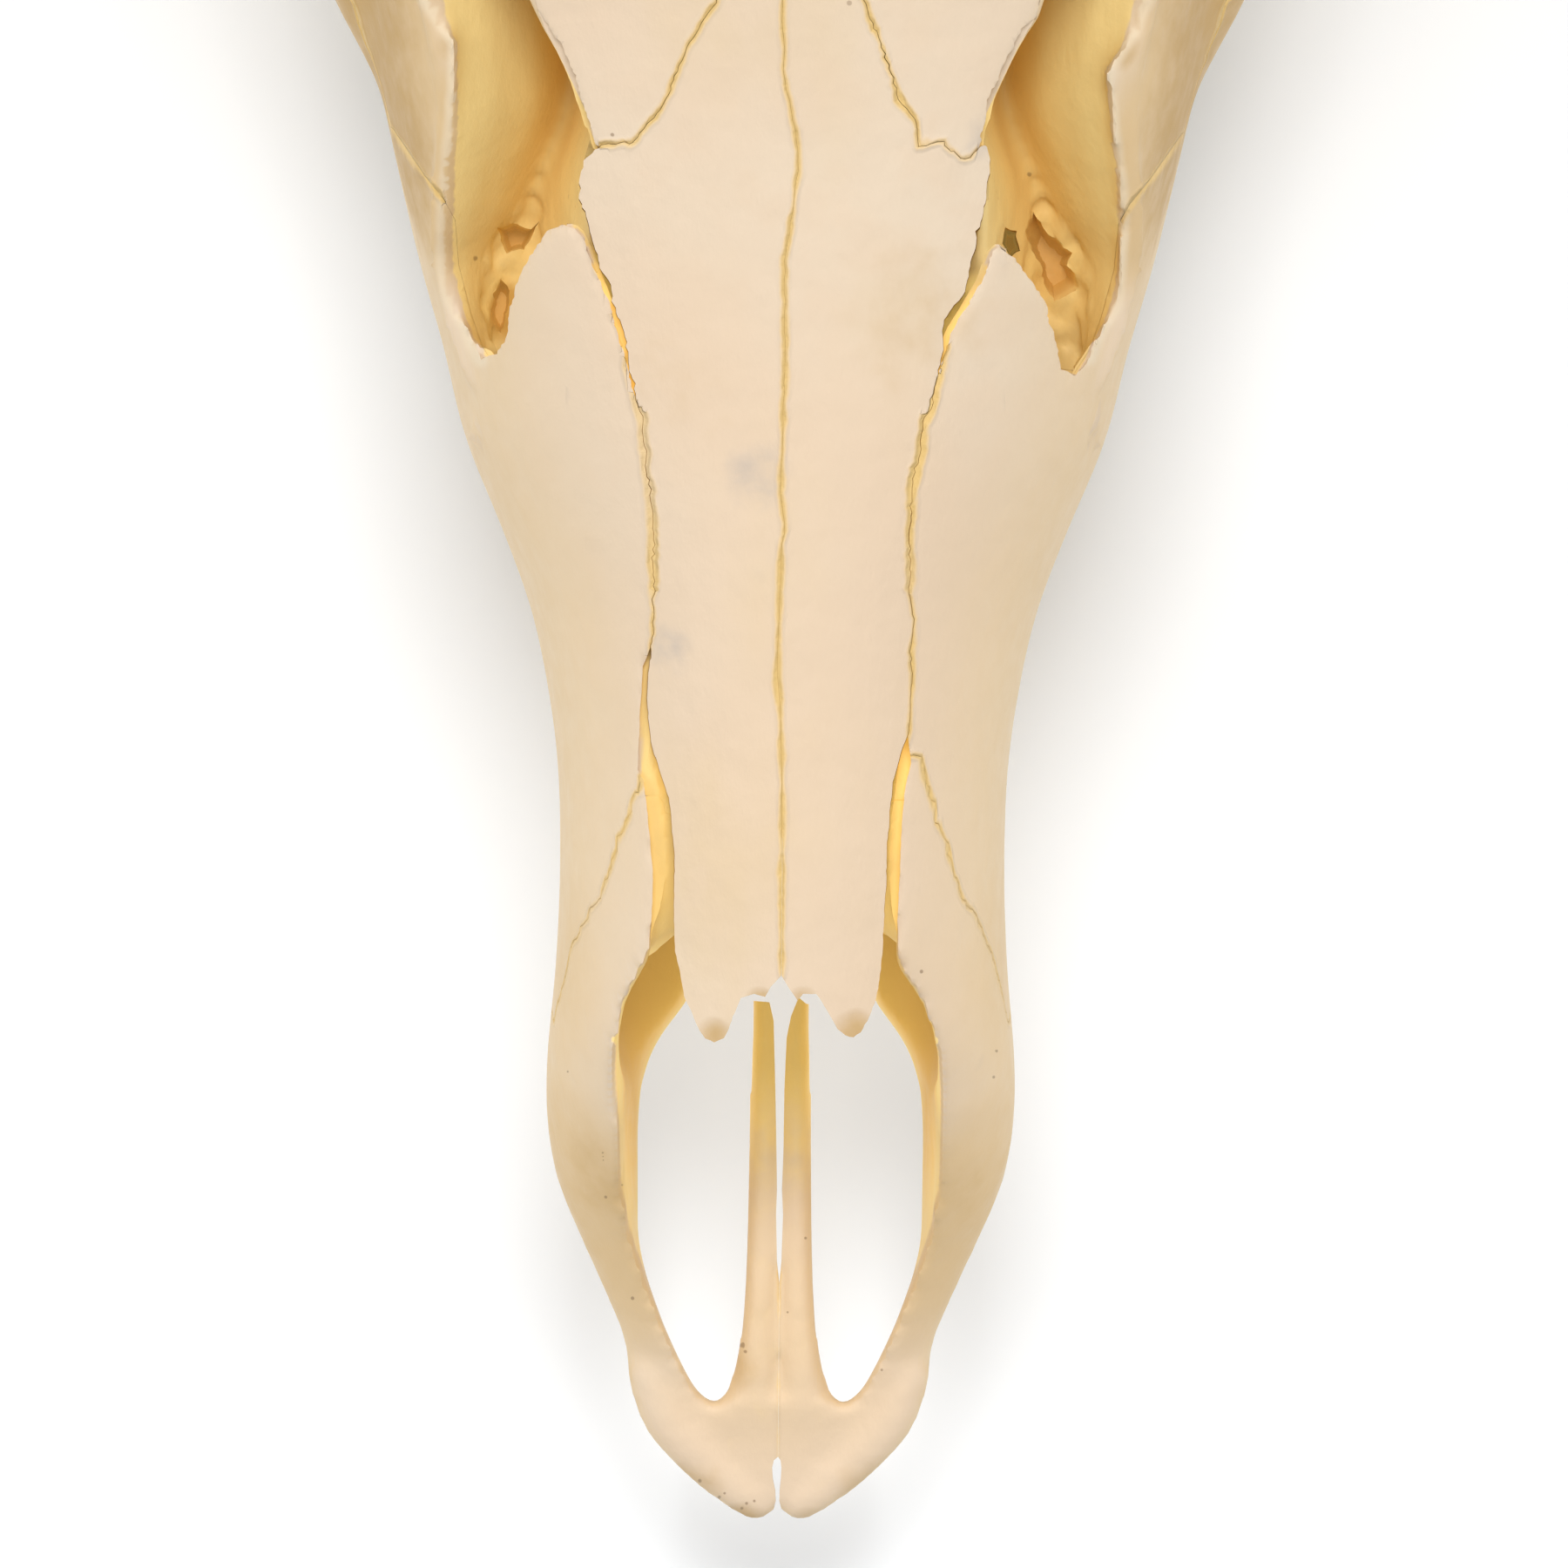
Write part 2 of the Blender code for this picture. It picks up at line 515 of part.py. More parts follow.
def skull_mass():
    """The whole skull without its hollows: the face, the roof, the braincase and what grows from them."""
    pieces = [
        body_of_sections("face", FACE),
        body_of_sections("roof", FRONTAL_TABLE),
        body_of_sections("brain", BRAINCASE),
        body_of_sections("septum", STEM),
        ellipsoid("basioccipital", (0.0, 252.0, 29.5), (12.5, 27.0, 6.5)),
        ellipsoid("condylar_base", (0.0, 266.0, 34.0), (18.0, 9.5, 14.0)),
        ellipsoid("occipital_knob", (0.0, 270.0, 68.0), (7.0, 4.0, 6.0)),
        sweep("nuchal_crest", ((-31.0, 262.0, 44.0, 3.2), (-27.0, 266.0, 60.0, 3.2),
                               (-14.0, 269.5, 69.5, 3.2), (0.0, 271.0, 71.5, 3.4),
                               (14.0, 269.5, 69.5, 3.2), (27.0, 266.0, 60.0, 3.2),
                               (31.0, 262.0, 44.0, 3.2))),
    ]
    for piece in (
        sweep("alveolus", ((19.4, 86.0, 23.0, 4.0, 5.0), (21.4, 104.0, 20.6, 5.4, 7.0),
                           (24.4, 124.0, 18.4, 6.6, 8.0), (25.8, 142.0, 16.4, 7.0, 8.0),
                           (25.0, 160.0, 16.0, 6.6, 8.0), (22.6, 168.0, 21.0, 4.0, 6.0))),
        ellipsoid("face_tuber", (31.0, 115.0, 30.0), (3.6, 10.0, 4.6)),
        ellipsoid("condyle", (10.4, 273.6, 28.6), (8.4, 9.2, 10.6), (-20.0, 0.0, 12.0)),
        sweep("jugular_process", ((29.0, 262.0, 40.0, 5.0, 8.0), (28.4, 261.0, 28.0, 4.2, 7.6),
                                  (26.4, 259.6, 14.0, 3.2, 6.0), (24.6, 258.4, -2.0, 2.6, 4.2)),
              upright=(0.0, 1.0, 0.0)),
        ellipsoid("bulla", (19.6, 243.0, 25.4), (6.6, 10.4, 8.0), (0.0, 12.0, -18.0)),
        sweep("ear_tube", ((26.0, 240.0, 40.0, 5.4), (35.0, 240.6, 43.0, 5.4), (41.0, 241.4, 45.6, 5.2))),
        ellipsoid("mastoid", (33.0, 254.0, 42.0), (6.0, 9.0, 10.0)),
        sweep("malar", ((26.0, 112.0, 42.0, 6.0, 7.0), (34.0, 126.0, 43.0, 5.0, 8.0),
                        (39.4, 142.0, 45.0, 4.6, 8.4), (45.0, 158.0, 46.0, 4.2, 6.6),
                        (50.0, 172.0, 46.6, 3.6, 5.4), (54.6, 186.0, 48.0, 3.2, 5.2),
                        (55.6, 198.0, 48.6, 2.6, 4.8), (53.0, 210.0, 48.6, 2.6, 4.6),
                        (48.0, 220.0, 49.4, 3.0, 5.0), (40.0, 228.0, 51.0, 5.4, 5.0),
                        (30.0, 232.0, 52.0, 7.0, 6.0))),
        ellipsoid("jaw_joint", (40.0, 223.0, 46.0), (9.0, 7.0, 4.0)),
        sweep("pterygoid", ((13.0, 156.0, 26.0, 3.2, 8.0), (12.0, 170.0, 27.0, 1.9, 9.0),
                            (11.4, 184.0, 28.0, 1.6, 9.0), (11.6, 198.0, 32.0, 1.8, 7.0),
                            (13.0, 212.0, 36.0, 3.0, 5.0))),
        sweep("pedicle", PEDICLE),
    ):
        pieces += with_mirror(piece)
    return fused("skull", pieces, MASS_VOXEL, 8)


def orbit_frame():
    """The right orbit's centre, and its directions outwards, backwards along the rim, and up."""
    turn, tilt = math.radians(ORBIT_TURN), math.radians(ORBIT_TILT)
    backward = Vector((math.sin(turn), math.cos(turn), 0.0))
    flat = Vector((math.cos(turn), -math.sin(turn), 0.0))
    outward = flat * math.cos(tilt) + Vector((0.0, 0.0, math.sin(tilt)))
    return Vector(ORBIT_CENTRE), outward, backward, outward.cross(backward)


def orbit_rim():
    """The raised ring round the right orbit, closed behind by the postorbital bar."""
    centre, _, backward, up = orbit_frame()
    stations = []
    for i in range(25):
        angle = math.tau * i / 24
        reach = backward * ORBIT_LENGTH * math.cos(angle) + up * ORBIT_HEIGHT * math.sin(angle)
        stations.append((*(centre + reach), RIM_RADIUS + 0.5 * math.cos(angle)))
    return sweep("rim", stations, upright=(1.0, -0.3, 0.0))


def postorbital_bar():
    """The flat strut behind the right orbit, from the frontal bone down to the cheek bone."""
    return sweep("bar", ((36.0, 196.0, 91.0, 6.0, 5.0), (44.0, 194.0, 84.0, 7.0, 4.0),
                         (50.4, 191.6, 75.0, 5.6, 3.0), (54.0, 190.2, 65.0, 4.6, 2.6),
                         (54.6, 188.6, 56.0, 5.0, 2.6), (53.6, 188.0, 48.0, 6.0, 3.0)),
                 upright=(1.0, 0.0, 0.2))


def orbit_socket():
    """The hollow of the right eye, wide at the rim and narrow at the depth of the skull."""
    centre, outward, backward, up = orbit_frame()
    rings = []
    for depth, share in SOCKET:
        middle = centre + outward * depth
        ring = []
        for i in range(24):
            angle = math.tau * i / 24
            reach = backward * ORBIT_LENGTH * math.cos(angle) + up * ORBIT_HEIGHT * math.sin(angle)
            ring.append(at(*(middle + reach * share)))
        rings.append(ring)
    return loft("socket", rings)


def nasal_opening():
    """What is missing before the nasal bones: open above, and narrow at the fissures of the palate below."""
    rings = []
    for s in (10.4, 11.6, 13.5, 17.0, 20.5, 24.0, 27.5, 31.0, 34.5, 37.8, 41.3, 44.3, 48.3):
        upper = value_at(RIM_EDGE, s)
        lower = value_at(FISSURE_EDGE, s)
        rings.append([
            at(*point) for point in (
                (upper, s, 90.0), (upper, s, 52.0), (0.5 * (upper + lower), s, 38.0), (lower, s, 30.0),
                (lower, s, 10.0), (-lower, s, 10.0), (-lower, s, 30.0), (-0.5 * (upper + lower), s, 38.0),
                (-upper, s, 52.0), (-upper, s, 90.0),
            )
        ])
    return loft("opening", rings)


def palate_vault():
    """The hollow of the hard palate between the rows of teeth, and the way to the throat behind it."""
    return body_of_sections("vault", (
        (62.0, 4.0, 27.0, 20.0, -20.0, 2.2, 2.2),
        (76.0, 9.0, 27.4, 18.0, -20.0, 2.2, 2.2),
        (92.0, 12.6, 25.6, 14.0, -20.0, 2.4, 2.2),
        (112.0, 15.0, 24.6, 12.0, -20.0, 2.6, 2.2),
        (134.0, 16.0, 24.0, 10.0, -20.0, 2.6, 2.2),
        (156.0, 15.6, 24.0, 10.0, -20.0, 2.6, 2.2),
        (176.0, 14.0, 24.0, 10.0, -20.0, 2.6, 2.2),
    ))


def throat():
    """The space between the pterygoid plates, open to below."""
    return body_of_sections("throat", (
        (163.0, 9.4, 36.0, 20.0, -20.0, 2.4, 2.2),
        (180.0, 9.2, 36.0, 20.0, -20.0, 2.4, 2.2),
        (196.0, 9.0, 34.0, 20.0, -20.0, 2.4, 2.2),
        (206.0, 6.0, 30.0, 20.0, -20.0, 2.4, 2.2),
    ))


def nasal_slot():
    """The open strip on each side of the nasal bones, behind the nasal opening."""
    edge = [(x, s) for s, x in RIM_EDGE if s > 43.0]
    return prism("slot", (*edge, *((-x, s) for x, s in reversed(edge))), "z", 52.0, 100.0)


def lacrimal_plate():
    """The thin wall that slopes from the outer lip of the gap before the right orbit into the nose."""
    rings = []
    for s, lip, top, depth, reach in (
        (92.0, 24.8, 56.6, 9.0, 4.0), (98.0, 27.0, 55.4, 13.0, 7.0), (106.0, 27.2, 60.0, 17.0, 10.0),
        (116.0, 27.0, 64.2, 20.0, 11.0), (124.0, 28.8, 65.4, 21.0, 12.0), (131.0, 30.0, 66.0, 21.0, 13.0),
    ):
        rings.append([
            at(*point) for point in (
                (lip + 1.6, s, top - 1.0), (lip - 0.4, s, top), (lip - 0.62 * reach, s, top - 0.5 * depth),
                (lip - reach, s, top - depth), (lip - reach + 1.6, s, top - depth - 1.6),
                (lip - 0.5 * reach + 2.2, s, top - 0.55 * depth - 1.6),
            )
        ])
    return loft("lacrimal_plate", rings)


def turbinate():
    """The rolled bone on the side wall of the nose, seen through the gap before the right orbit."""
    return sweep("turbinate", ((17.6, 80.0, 44.0, 1.6), (17.6, 90.0, 48.0, 3.6), (17.0, 100.0, 50.0, 5.6),
                               (16.0, 112.0, 51.0, 6.0), (17.0, 124.0, 52.0, 5.6),
                               (19.0, 134.0, 54.0, 4.0)))


def palate_bar():
    """The thin tongue of the right premaxilla that runs back between the fissures of the palate."""
    return sweep("bar", ((2.4, 6.0, 25.6, 2.4, 1.6), (1.7, 10.5, 26.0, 1.6, 1.5),
                         (1.55, 19.0, 27.2, 1.2, 1.4), (1.5, 30.0, 29.0, 1.15, 1.3),
                         (1.3, 38.0, 30.2, 0.95, 1.1), (1.2, 41.0, 30.6, 0.7, 0.8)))


def nasal_shell():
    """The roof of the nose alone, out to the tips of the nasal bones."""
    outer = body_of_sections("nasal_shell", (
        (32.0, 17.8, 60.8, 37.0, 30.0, 2.2, 2.6), (38.0, 18.0, 62.0, 37.4, 30.0, 2.2, 2.6), *FACE[13:-2],
    ))
    inner = body_of_sections("nasal_room", (
        (26.0, 15.4, 57.0, 40.0, 20.0, 2.2, 2.4),
        (38.0, 15.6, 59.9, 40.0, 20.0, 2.2, 2.4), *NASAL_CAVITY[1:],
    ))
    below = ((0.0, -30.0), (300.0, -30.0), (300.0, 50.0), (0.0, 50.0))
    boolean(outer, [inner, prism("lower_half", below, "x", -FAR, FAR)], "DIFFERENCE")
    return thinned(fused("nasal_shell", [outer], WALL_VOXEL, 2), NASAL_FACES)


def hollowed_skull():
    """The skull with its orbits, nose, palate and openings cut, as one thin-walled skin of few faces."""
    skull = skull_mass()
    boolean(skull, with_mirror(orbit_socket()), "DIFFERENCE")
    boolean(skull, [
        loft("cavity", [section(*row) for row in spline(NASAL_CAVITY, 3.0) if row[0] <= CAVITY_END]),
        nasal_opening(),
        nasal_slot(),
        palate_vault(),
        throat(),
        ellipsoid("foramen_magnum", (0.0, 278.0, 41.5), (9.6, 16.0, 8.6)),
        *with_mirror(prism("vacuity", VACUITY, "z", 44.0, 100.0)),
        *with_mirror(ellipsoid("ear_hole", (43.0, 241.6, 46.4), (6.0, 2.8, 2.8), (0.0, -20.0, 0.0))),
    ], "DIFFERENCE")
    additions = [prism("vomer", VOMER_SIDE, "x", -VOMER_HALF, VOMER_HALF)]
    for piece in (orbit_rim(), postorbital_bar(), lacrimal_plate(), turbinate(), palate_bar()):
        additions += with_mirror(piece)
    skull = fused("skull", [skull, *additions], WALL_VOXEL, 3)
    below = ((-50.0, -50.0), (330.0, -50.0), (330.0, 0.0), (-50.0, 0.0))
    boolean(skull, [prism("surface", below, "x", -FAR, FAR)], "DIFFERENCE")
    return thinned(skull, SKULL_FACES)


def region(name, outline, axis, low, high, growth):
    """A prism for the bones of the right side from low on, its outline moved out by growth."""
    if axis == "x":
        return prism(name, grown(outline, growth), "x", low - growth, FAR)
    return prism(name, grown(outline, growth), "z", low - growth, high + growth)


def paired_bones(skull, name, outline, axis="x", low=0.0, high=FAR):
    """Cuts a bone of each side out of the skull and returns both."""
    bones = []
    for side in ("right", "left"):
        tool = region("region", outline, axis, low, high, -HALF_GAP)
        if side == "left":
            right = tool
            tool = mirrored(right, "region_left")
            bpy.data.objects.remove(right)
        bone = boolean(copy_of(skull, f"{name}_{side}"), [tool], "INTERSECT")
        bones.append(largest_shell(bone))
    outer = region("region", outline, axis, low, high, HALF_GAP)
    if axis == "x" and low <= 0.0:
        bpy.data.objects.remove(outer)
        tools = [prism("region", grown(outline, HALF_GAP), "x", -FAR, FAR)]
    else:
        tools = with_mirror(outer)
    boolean(skull, tools, "DIFFERENCE")
    return bones


def single_bone(skull, name, outline, axis="x", low=-FAR, high=FAR):
    """Cuts one bone that crosses the mid-plane out of the skull."""
    tool = prism("region", grown(outline, -HALF_GAP), axis, low + HALF_GAP, high)
    bone = boolean(copy_of(skull, name), [tool], "INTERSECT")
    boolean(skull, [prism("region", grown(outline, HALF_GAP), axis, low - HALF_GAP, high)], "DIFFERENCE")
    return largest_shell(bone)


def nasal_outline():
    """The right nasal bone seen from above, as (x, s)."""
    edge = [(x, s) for s, x in NASAL_EDGE]
    return ((0.0, 43.4), *reversed(NASAL_TIP), *edge, *NASOFRONTAL[1:], (0.0, 133.2))


def tooth(s, x, length, width, low):
    """One cheek tooth, from its root in the jaw down to its flat worn face. A molar has two pillars."""
    outline = MOLAR_OUTLINE if length > 12.0 else PREMOLAR_OUTLINE
    rings = []
    for z, share in ((TOOTH_ROOT_TOP, 0.7), (low + 4.0, 1.0), (low, 0.9)):
        middle = x + 0.04 * (z - low)
        half_width, half_length = share * width / 2, share * (length - TOOTH_SPACE) / 2
        rings.append([
            at(middle + half_width * across, s + half_length * along, z) for across, along in outline
        ])
    return loft("tooth", rings)


def teeth():
    """The right row of six cheek teeth."""
    return [tooth(*row) for row in TEETH]


def skull_bones():
    """Every bone of the skull, as a dictionary by name."""
    shell = nasal_shell()
    bones = paired_bones(shell, "nasal", nasal_outline(), "z", 50.0)
    bpy.data.objects.remove(shell)
    skull = hollowed_skull()
    room = prism("nasal_room", grown(nasal_outline(), HALF_GAP), "z", 55.0, FAR)
    boolean(skull, with_mirror(room), "DIFFERENCE")
    bones.append(single_bone(skull, "vomer", VOMER_TOP, "z", VOMER_FOOT, 60.0))
    bones += paired_bones(skull, "premaxilla", PREMAXILLA_SIDE)
    bones += paired_bones(skull, "lacrimal", LACRIMAL_SIDE, low=12.0)
    bones += paired_bones(skull, "frontal", FRONTAL_SIDE)
    bones += paired_bones(skull, "zygomatic", ZYGOMATIC_SIDE, low=22.0)
    bones.append(single_bone(skull, "occipital", OCCIPITAL_SIDE))
    bones.append(single_bone(skull, "parietal", PARIETAL_SIDE))
    bones += paired_bones(skull, "palatine", PALATINE_TOP, "z", -10.0, PALATINE_HEIGHT)
    bones += paired_bones(skull, "maxilla", MAXILLA_SIDE)
    bones += paired_bones(skull, "temporal", TEMPORAL_TOP, "z", -10.0)
    skull.name = "sphenoid"
    bones.append(largest_shell(skull))
    found = {bone.name: bone for bone in bones}
    boolean(found["maxilla_right"], teeth(), "UNION")
    boolean(found["maxilla_left"], [flipped(tooth) for tooth in teeth()], "UNION")
    return found


def burr():
    """The knobbly ring round the foot of the right antler."""
    draw = random.Random(BURR_SEED)
    normal = Vector(BURR_NORMAL).normalized()
    side = normal.cross(Vector((0.0, 0.0, 1.0))).normalized()
    ahead = normal.cross(side)
    knobs = []
    for i in range(BURR_KNOBS):
        angle = math.tau * i / BURR_KNOBS
        place = Vector(BURR_CENTRE) + (side * math.cos(angle) + ahead * math.sin(angle)) * (BURR_RADIUS - 3.4)
        size = draw.uniform(4.6, 5.8)
        knobs.append(ellipsoid("knob", place, (size, size, size * 0.8)))
    return knobs


def antler():
    """The whole right antler, with its foot cut flat."""
    pieces = [sweep("beam", BEAM[1:]), sweep("brow", BROW_TINE), sweep("second", SECOND_TINE),
              sweep("third", THIRD_TINE), *burr()]
    return thinned(fused("antler", pieces, ANTLER_VOXEL, 3), ANTLER_FACES)


def foot_slab(lower, upper):
    """A block square to the foot of the right antler, between two heights along the pedicle."""
    normal = Vector(BURR_NORMAL).normalized()
    ends = [Vector(BURR_CENTRE) + normal * level for level in (lower, upper)]
    return sweep("slab", [(*end, 60.0) for end in ends], pitch=FAR, count=8)


def sleeve(stations, start, margin, growth):
    """A tube a margin wider than the stretch of antler from a station on, and longer than its tip."""
    rows = [tuple(row) for row in stations[start:]]
    first, second = Vector(rows[0][:3]), Vector(rows[1][:3])
    ahead = (second - first).normalized()
    begin = first - ahead * growth
    last = Vector(rows[-1][:3])
    last += (last - Vector(rows[-2][:3])).normalized() * 8.0
    wide = margin + growth
    tube = [(*row[:3], row[3] + wide) for row in rows[1:]]
    return sweep("sleeve", [(*begin, rows[0][3] + wide), *tube, (*last, wide)])


def antler_pieces():
    """The right antler, parted from its pedicle and at its forks."""
    whole = antler()
    boolean(whole, [foot_slab(-60.0, ANTLER_FOOT + HALF_GAP)], "DIFFERENCE")
    pieces = []
    for name, stations, start, margin in (
        ("brow_tine", BROW_TINE, 1, TINE_MARGIN), ("second_tine", SECOND_TINE, 1, TINE_MARGIN),
        ("third_tine", THIRD_TINE, 1, TINE_MARGIN), ("beam_upper", BEAM, 11, BEAM_MARGIN),
        ("beam_middle", BEAM, 8, BEAM_MARGIN),
    ):
        inner = sleeve(stations, start, margin, -HALF_GAP)
        piece = boolean(copy_of(whole, f"{name}_right"), [inner], "INTERSECT")
        boolean(whole, [sleeve(stations, start, margin, HALF_GAP)], "DIFFERENCE")
        pieces.append(largest_shell(piece))
    whole.name = "beam_lower_right"
    return [*pieces, largest_shell(whole)]


def flipped(obj):
    """The object reflected in the mid-plane in place."""
    obj.data.transform(Matrix.Scale(-1.0, 4, (1.0, 0.0, 0.0)))
    obj.data.flip_normals()
    return obj


def finish(obj, made_of, collection):
    """Gives the object its material and moves it into the collection of the skull."""
    obj.data.name = obj.name
    obj.data.materials.clear()
    obj.data.materials.append(made_of)
    for home in list(obj.users_collection):
        home.objects.unlink(obj)
    collection.objects.link(obj)


def main():
    """Builds the skull and both antlers."""
    clear_scene()
    collection = bpy.data.collections.new("deer_skull")
    bpy.context.scene.collection.children.link(collection)
    bones = skull_bones()
    for side, name in ((1, "frontal_right"), (-1, "frontal_left")):
        slab = foot_slab(ANTLER_FOOT - HALF_GAP, 60.0)
        boolean(bones[name], [slab if side > 0 else flipped(slab)], "DIFFERENCE")
        largest_shell(bones[name])
    for name, bone in bones.items():
        finish(bone, material(f"{name}_bone", BONE_COLOUR, 0.6), collection)
    for piece in antler_pieces():
        twin = mirrored(piece, piece.name.replace("right", "left"))
        for each in (piece, twin):
            finish(each, material(f"{each.name}_horn", ANTLER_COLOUR, 0.55), collection)


if __name__ == "__main__":
    main()
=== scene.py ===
"""The looks of a white-tailed deer skull with eight-point antlers, seen from straight above its snout.

Places are (x, s, z) in millimetres: x is to the side of the mid-plane, positive on +X, s is the distance
behind the tip of the snout, and z is the height above the surface that the skull rests on.
"""

from __future__ import annotations

import logging
import math
import random
from collections.abc import Iterable, Sequence
from dataclasses import dataclass, field
from enum import Enum

import bmesh
import bpy
from mathutils import Matrix, Vector, noise
from mathutils.bvhtree import BVHTree

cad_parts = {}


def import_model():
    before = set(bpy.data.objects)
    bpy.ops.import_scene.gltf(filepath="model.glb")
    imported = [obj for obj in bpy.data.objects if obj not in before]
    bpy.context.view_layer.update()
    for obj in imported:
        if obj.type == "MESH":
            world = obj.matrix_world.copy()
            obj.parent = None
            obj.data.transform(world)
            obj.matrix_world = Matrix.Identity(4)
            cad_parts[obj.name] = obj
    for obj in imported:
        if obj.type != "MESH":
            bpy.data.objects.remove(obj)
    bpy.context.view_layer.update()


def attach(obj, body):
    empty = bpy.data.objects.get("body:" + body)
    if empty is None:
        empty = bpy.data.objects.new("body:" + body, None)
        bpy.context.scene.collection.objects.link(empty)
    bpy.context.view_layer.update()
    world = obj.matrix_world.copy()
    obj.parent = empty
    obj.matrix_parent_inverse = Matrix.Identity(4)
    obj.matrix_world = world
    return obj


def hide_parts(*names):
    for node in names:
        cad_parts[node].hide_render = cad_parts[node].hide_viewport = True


LOG = logging.getLogger("deer_skull")
MM = 0.001
# How far the origin of the part lies behind the tip of the snout.
MIDDLE = 140.9
# Beyond every part of the skull.
FAR = 400.0
# Half the gap between two bones, how far the nasal bones step back from each other, and how much a gap
# widens.
HALF_SEAM = 0.02
MIDDLE_SHIFT = 0.012
SEAM_WAVER = 0.05
# How far from another bone the stain of a suture reaches, and how near the mid-plane an outline stays calm.
SEAM_REACH = 1.5
CALM_MIDDLE = 1.5

Solid = bpy.types.Object
Socket = bpy.types.NodeSocket
Row = tuple[float, ...]
Flat = tuple[tuple[float, float], ...]


class Side(Enum):
    """The two sides of the skull, with the sign of their x."""

    RIGHT = 1
    LEFT = -1

    @property
    def label(self) -> str:
        """The word that a node's name ends in."""
        return self.name.lower()


def at(x: float, s: float, z: float) -> Vector:
    """The point in metres, in the frame of the part."""
    return Vector((x, s - MIDDLE, z)) * MM


def spline(stations: Iterable[Row], pitch: float) -> list[Row]:
    """Rows about pitch apart along a smooth curve through the stations.

    Args:
        stations: Rows of numbers, the first three of which set the spacing.
        pitch: The distance between two rows of the result.

    Returns:
        The rows, both ends included.
    """
    rows = [tuple(float(value) for value in row) for row in stations]
    padded = [rows[0], *rows, rows[-1]]
    made = []
    for before, start, end, after in zip(padded, padded[1:], padded[2:], padded[3:]):
        steps = max(1, round(math.dist(start[:3], end[:3]) / pitch))
        for step in range(steps):
            t = step / steps
            weights = (
                -0.5 * t + t * t - 0.5 * t**3,
                1 - 2.5 * t * t + 1.5 * t**3,
                0.5 * t + 2 * t * t - 1.5 * t**3,
                -0.5 * t * t + 0.5 * t**3,
            )
            quad = (before, start, end, after)
            made.append(tuple(sum(w * row[i] for w, row in zip(weights, quad)) for i in range(len(start))))
    made.append(rows[-1])
    return made


def share_of(value: float, start: float, end: float) -> float:
    """How far a value is on its way from start to end, kept between 0 and 1."""
    return min(1.0, max(0.0, (value - start) / (end - start)))


def value_at(pairs: Sequence[tuple[float, float]], s: float) -> float:
    """The height of a broken line of (s, value) pairs at s.

    Args:
        pairs: the (s, value) pairs, in order of s.
        s: how far behind the tip of the snout.

    Returns:
        The value at s.
    """
    if s <= pairs[0][0]:
        return pairs[0][1]
    for (s0, v0), (s1, v1) in zip(pairs, pairs[1:]):
        if s <= s1:
            return v0 + (v1 - v0) * (s - s0) / (s1 - s0)
    return pairs[-1][1]


def grown(outline: Flat, distance: float, waver: float = 0.0) -> Flat:
    """The outline moved outwards by a distance, and here and there further by up to waver.

    Args:
        outline: the points of the outline.
        distance: how far, in millimetres.
        waver: the further distance.

    Returns:
        The moved outline.
    """
    ring = list(outline)
    area = sum(a[0] * b[1] - b[0] * a[1] for a, b in zip(ring, ring[1:] + ring[:1]))
    turn = 1.0 if area > 0 else -1.0
    moved = []
    for before, here, after in zip(ring[-1:] + ring[:-1], ring, ring[1:] + ring[:1]):
        normals = []
        for start, end in ((before, here), (here, after)):
            dx, dy = end[0] - start[0], end[1] - start[1]
            length = max(math.hypot(dx, dy), 1e-6)
            normals.append((turn * dy / length, -turn * dx / length))
        nx, ny = normals[0][0] + normals[1][0], normals[0][1] + normals[1][1]
        stretch = 2.0 / max(nx * nx + ny * ny, 0.8)
        swell = noise.noise(Vector((here[0] * 0.22, here[1] * 0.22, 31.0))) - 0.05
        extra = 0.0 if abs(here[0]) < CALM_MIDDLE else waver * max(0.0, swell)
        reach = stretch * math.copysign(abs(distance) + extra, distance)
        moved.append((here[0] + nx * reach, here[1] + ny * reach))
    return tuple(moved)


def within(outline: Flat, x: float, y: float) -> bool:
    """Whether a point lies inside an outline.

    Args:
        outline: the points of the outline.
        x: the first coordinate.
        y: the second coordinate.

    Returns:
        True inside.
    """
    inside = False
    for (x0, y0), (x1, y1) in zip(outline, outline[1:] + outline[:1]):
        if (y0 > y) != (y1 > y) and x < x0 + (x1 - x0) * (y - y0) / (y1 - y0):
            inside = not inside
    return inside


def ragged(outline: Flat, pitch: float, size: float, seed: float, teeth: float = 0.0) -> Flat:
    """The outline with small irregular waves, as a grown suture has.

    Args:
        outline: The smooth outline.
        pitch: The distance between two points of the result.
        size: How far a wave reaches to each side.
        seed: Which waves.
        teeth: How far the smallest waves reach, or 0 for a share of size.

    Returns:
        The wavy outline. Points near the mid-plane waver less.
    """
    made = []
    for start, end in zip(outline, outline[1:] + outline[:1]):
        length = math.dist(start, end)
        steps = max(1, round(length / pitch))
        for step in range(steps):
            t = step / steps
            x, y = start[0] + (end[0] - start[0]) * t, start[1] + (end[1] - start[1]) * t
            if abs(x) > FAR * 0.5 or length > 60.0:
                if step == 0:
                    made.append((x, y))
                continue
            calm = share_of(abs(x), 0.0, CALM_MIDDLE)
            shift = noise.noise_vector(Vector((x * 0.55, y * 0.55, seed))) * size * calm
            fine = noise.noise_vector(Vector((x * 2.3, y * 2.3, seed + 9.0))) * (teeth or size * 0.7) * calm
            made.append((x + shift.x + fine.x, y + shift.y + fine.y))
    return tuple(made)


